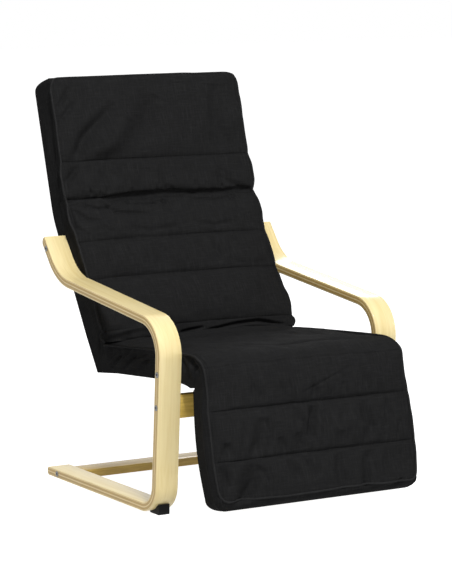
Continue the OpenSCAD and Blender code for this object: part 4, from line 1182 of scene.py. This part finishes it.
def cushion_piece(name, grid, at, relief, flip, pipe, finishes):
    """The finished cloth with its piping, as one mesh with a flat map in metres."""
    across = across_from_middle(grid)
    normal = normals_of(grid, flip)
    surface = grid + normal * relief[..., None]
    rings, columns = surface.shape[:2]
    faces = grid_faces(rings, columns, flip)
    rows = np.interp(pipe[:, 0], at, np.arange(len(at)))
    line = sample(surface, rows, pipe[:, 1])
    lift = sample(normal, rows, pipe[:, 1])
    for _ in range(PIPING_SMOOTH):
        line[1:-1] = 0.25 * line[:-2] + 0.5 * line[1:-1] + 0.25 * line[2:]
    cord, cord_faces, cord_flat = tube(line + lift * PIPING_LIFT, lift, PIPING_R)
    count = rings * columns
    points = np.concatenate([surface.reshape(-1, 3), cord])
    faces += [tuple(i + count for i in f) for f in cord_faces]
    obj = mesh_piece(name, points, faces, finishes[0])
    obj.data.materials.append(finishes[1].material)
    flat = np.concatenate([np.stack([across, np.repeat(at[:, None], columns, 1)], 2)
                           .reshape(-1, 2), cord_flat])
    loops = np.empty(len(obj.data.loops), dtype=np.int64)
    obj.data.loops.foreach_get("vertex_index", loops)
    layer = obj.data.uv_layers.new(name="cloth")
    layer.data.foreach_set("uv", flat[loops].reshape(-1))
    which = np.zeros(len(obj.data.polygons), dtype=np.int32)
    which[len(which) - len(cord_faces):] = 1
    obj.data.polygons.foreach_set("material_index", which)
    obj.data.polygons.foreach_set("use_smooth", np.ones(len(which), dtype=bool))
    print(name, len(points), "points", len(faces), "faces")
    return obj


# %% [markdown]
# ## The cover's cloth
# The cover is black polyester with a linen look: thick and thin threads cross, so
# the black breaks up into short paler streaks along both directions. The threads
# themselves are a little over half a millimetre wide. The piping is the same
# cloth cut on the bias, so its threads run round it at a slant, and its colours
# are painted half as light again: a painted highlight along the round cord.

# %% Finish of the cloth
THREAD_PITCH, LINEN_DARK, LINEN_PALE = 1.15 * MM, (0.0112, 0.0112, 0.0114), (0.0246, 0.0246, 0.0251)


def linen(name, turn=0.0, pale=1.0):
    cloth = Finish(name, roughness=0.78, sheen=0.002, specular=0.01)
    cloth.shader.inputs["Sheen Roughness"].default_value = 0.45
    cloth.shader.inputs["Sheen Tint"].default_value = (0.8, 0.8, 0.84, 1)
    flat = cloth.place(turn=(0, 0, turn), uv="cloth")

    def threads(direction):
        return (cloth.axis(flat, direction) * (2 * math.pi / THREAD_PITCH)).maths('SINE') * 0.5 + 0.5

    def streaks(across, along, seed, low, high):
        at = cloth.node('ShaderNodeMapping', {"Vector": flat, "Scale": (across, along, 1),
                                              "Location": (seed, seed * 1.7, 0)})
        return cloth.noise(at, 1.0, roughness=0.6).steps(low, high)

    upright = streaks(520, 30, 3.1, 0.40, 0.74)
    level = streaks(30, 520, 7.7, 0.40, 0.74)
    slub_up = streaks(300, 16, 11.3, 0.50, 0.80)
    slub_level = streaks(16, 300, 17.9, 0.50, 0.80)
    worn = cloth.noise(cloth.place(), 7.0, detail=3.0).steps(0.3, 0.75)
    warp, weft = threads(0), threads(1)
    weave = warp * weft
    tone = upright * 0.32 + level * 0.28 + slub_up * 0.34 + slub_level * 0.26 + weave * 0.10 + worn * 0.08
    # pale multiplies both colours; above 1 it paints a highlight, as on the piping
    dark, light = ([v * pale for v in colour] for colour in (LINEN_DARK, LINEN_PALE))
    cloth.set("Base Color", cloth.between(tone.inside(), dark, light))
    cloth.set("Roughness", 0.70 + (1.0 - weave) * 0.12 + worn * 0.08)
    height = warp * 0.5 + weft * 0.5 + upright * 0.5 + level * 0.5 + slub_up * 0.9 + slub_level * 0.9
    cloth.bump(height, 0.00022, 0.8)
    return cloth


# the piping's colours are 1.5 times the cover's: a painted highlight along the cord
cloth, piping_painted_highlight = linen("black_linen_finish"), linen("black_piping_finish", math.radians(45), 1.5)
print("cloth ready")

# %% [markdown]
# ## The finished back
# The back's fourth seam from the seat lies in a deep fold, because the cover is
# a little long there. The other seams are thin quiet lines, and soft folds run
# from the corners and the edges.

# %% The back cushion
BACK_FOLDS = [
    # under the deep seam, with the short folds that run into it
    ([(-290, 425), (-245, 440), (-180, 440), (-150, 425), (-115, 435), (-65, 435), (-5, 440),
      (65, 440), (90, 435), (160, 435), (235, 435), (270, 425)], 10, -4.5, 1.0),
    ([(-185, 425), (-175, 400), (-155, 375), (-110, 370), (-55, 365)], 5, -6, 2),
    ([(-235, 430), (-225, 405), (-195, 390), (-150, 395)], 4.5, -5, 1),
    ([(-120, 425), (-90, 405), (-50, 400), (10, 410)], 4.5, -4, 1),
    ([(50, 425), (90, 405), (150, 400), (200, 405)], 5, -4, 1),
    ([(-265, 395), (-230, 360), (-190, 350)], 5, -5, 1),
    ([(-290, 415), (-235, 410)], 4, -3),
    ([(-160, 530), (-135, 505), (-115, 485)], 5, 3),
    ([(-280, 470), (-235, 510), (-220, 530)], 7, -4.5),
    ([(160, 480), (225, 445), (270, 430)], 9, -5, 1.0),
    ([(160, 500), (215, 465)], 6, -3),
    # slantwise over the head
    ([(-260, 475), (-235, 535), (-205, 590), (-165, 625), (-105, 670)], 15, -14, 3),
    ([(-200, 530), (-130, 575), (-80, 650)], 26, 15),
    ([(-60, 560), (-25, 620), (20, 690)], 34, -12),
    ([(195, 715), (190, 620), (215, 540)], 26, -12),
    ([(-275, 620), (-220, 680)], 7, -5),
    ([(-265, 665), (-225, 720)], 7, -5),
    # in the lower channels
    ([(-270, 345), (-235, 315), (-225, 300)], 5, -4),
    ([(-205, 355), (-170, 325)], 5, 2.5),
    ([(180, 305), (175, 300), (165, 270)], 4, -4.5),
    ([(235, 350), (235, 310)], 6, -3),
    ([(-80, 265), (-60, 200)], 5, -2),
    ([(-270, 305), (-215, 290), (-140, 300)], 7, -5, 1),
    ([(60, 335), (120, 320), (200, 330)], 6, -4, 1),
    ([(-120, 330), (-60, 318), (20, 325)], 7, -4, 1),
    ([(120, 225), (190, 205), (260, 215)], 8, -5, 1),
    # where the back meets the seat
    ([(20, 5), (60, 10), (110, 20), (170, 25), (220, 10), (250, 5)], 5, -9, 3),
    ([(-60, 5), (-30, 10), (10, 15)], 5, -9, 1),
    ([(70, 5), (140, 10), (210, 5)], 6, 6),
    ([(-285, 20), (-230, 25), (-170, 35), (-90, 20)], 10, 6),
    # on the side wall
    ([(-275, 410), (-270, 365), (-265, 325)], 6, -6),
    ([(-300, 690), (-310, 560), (-320, 460)], 8, -4.5),
    ([(-330, 640), (-335, 520)], 8, 3.5),
    ([(-280, 150), (-290, 65), (-300, 10)], 6, -4.5),
    ([(-285, 70), (-310, 40), (-340, 10)], 6, -4.5, 1),
    ([(-300, 460), (-325, 420), (-340, 365)], 7, -4.5, 1),
]
BACK_DEPTHS, BACK_STRENGTH, BACK_FADE, END_GAP = (1.2, 1.8, 1.6, 2.4, 1.8), 1.3, 4 * MM, 4 * MM
back_cloth, back_at = fine_grid(back_grid, back_places, BACK_SEAMS[1:-1])
third_seam, deep_seam = BACK_SEAMS[3], BACK_SEAMS[DEEP_SEAM]
quiet_seams = [BACK_SEAMS[k] for k in (2, 3, 5)]
gathers = small_folds(seed=8, seam=deep_seam, count=34, width=260, longs=(12, 34), wides=(2.8, 5))
strokes = BACK_FOLDS + gathers + small_folds(seed=3, seam=third_seam, count=12, width=230) \
    + small_folds(seed=4, seam=deep_seam, count=14, width=240)
relief = whole_relief(back_cloth, back_at, BACK_SEAMS[1:-1], seed=5, depths=BACK_DEPTHS, strokes=strokes,
                      strength=BACK_STRENGTH, held=quiet_seams)
relief *= shown_share(back_at, 0, BACK_FADE, BACK_COVER - END_GAP)
pipe = piping_path(back_at, POCKET_END, turn_before=6 * MM, over=0.76)
back_piece = cushion_piece("back_cover", back_cloth, back_at, relief, False, pipe, (cloth, piping_painted_highlight))
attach(back_piece, "frame")
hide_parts("back_cushion")

# %% [markdown]
# ## The finished seat and footrest
# One piece of cloth crosses the hinge, from the seat's rear edge round the knees
# to the end of the footrest.

# %% The seat, the knees and the footrest
LEG_FOLDS = [
    # over the seat's side wall, where the cover is pulled to the back
    ([(-285, -360), (-305, -390), (-325, -425)], 4, 7, 1.5),
    ([(-290, -345), (-310, -378), (-330, -410)], 4.5, -7),
    ([(-280, -285), (-305, -330), (-325, -375)], 4, 8, 1.5),
    ([(-288, -272), (-312, -315), (-332, -360)], 4.5, -8),
    ([(-290, -225), (-310, -280), (-330, -335)], 4, 8, 1.5),
    ([(-298, -212), (-318, -265), (-336, -320)], 4.5, -7),
    ([(-285, -410), (-300, -440)], 4, 4),
    ([(-283, -460), (-276, -420), (-276, -330), (-270, -220)], 4, -3.5),
    # down the footrest
    ([(-148, 190), (-160, 240), (-190, 300), (-230, 360)], 17, -14, 4),
    ([(-165, 300), (-195, 345), (-245, 400)], 14, -15, 4),
    ([(-65, 145), (-40, 220)], 8, -7),
    ([(150, 275), (130, 320), (120, 375), (125, 430)], 12, -11, 3),
    ([(135, 170), (155, 240), (135, 285)], 12, -11),
    ([(-105, 240), (-90, 280), (-65, 345)], 10, -9),
    ([(-55, 235), (-40, 285), (-15, 345)], 10, -9),
    ([(160, 390), (205, 385), (230, 370)], 6, -8),
    ([(-245, 240), (-260, 295), (-255, 345)], 10, -11),
    ([(10, 130), (0, 190), (-20, 260)], 13, -11),
    ([(65, 240), (50, 330), (60, 390)], 14, -12),
    # short ones under the knees
    ([(-35, 145), (50, 115), (125, 90)], 3.2, -3.5),
    ([(-165, 85), (-155, 110), (-140, 135)], 4, 3),
    ([(-90, 90), (-80, 120), (-72, 145)], 4, 3.5),
    ([(-62, 95), (-55, 120), (-50, 140)], 4, 3),
    ([(35, 110), (45, 130), (50, 150)], 4, 3),
    # across the seat
    ([(-275, -455), (0, -455), (275, -455)], 20, 11),
    ([(-120, -305), (40, -265), (150, -215)], 8, -4),
    ([(-150, -55), (25, -40), (180, -20)], 8, -4),
    # round the side of the knees
    ([(-262, -80), (-290, -5), (-303, 85)], 7, -6, 2),
    ([(-285, -60), (-330, -20)], 6, -6),
    ([(-290, 10), (-335, 30)], 6, -6),
    ([(-280, -25), (-325, 0)], 5, 5),
    ([(-290, 45), (-335, 70)], 5, 5),
]
LEG_DEPTHS, LEG_STRENGTH, SEAT_FADE, SOFT_BEND = (1.8, 2.0, 2.0), 1.25, 12 * MM, 85 * MM
leg_cloth, leg_at = fine_grid(leg_grid, leg_places, leg_seams)
strokes = LEG_FOLDS + small_folds(seed=5, seam=leg_seams[1], count=22, width=240) \
    + small_folds(seed=6, seam=leg_seams[2], count=22, width=240)
relief = whole_relief(leg_cloth, leg_at, leg_seams, seed=25, depths=LEG_DEPTHS, strokes=strokes,
                      strength=LEG_STRENGTH, held=leg_seams[1:])
relief *= shown_share(leg_at, -SEAT_PARTS, SEAT_FADE, KNEE_RUN + FOOT_COVER - END_GAP)
pipe = piping_path(leg_at, KNEE_RUN + FOOT_POCKET_END, turn_before=18 * MM, over=0.42)
leg_piece = cushion_piece("seat_and_footrest_cover", leg_cloth, leg_at, relief, True, pipe, (cloth, piping_painted_highlight))
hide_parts("seat_cushion", "knee_fold", "footrest_cushion")
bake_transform(leg_piece)
print("cover ready after", round(time.time() - started, 1), "s")
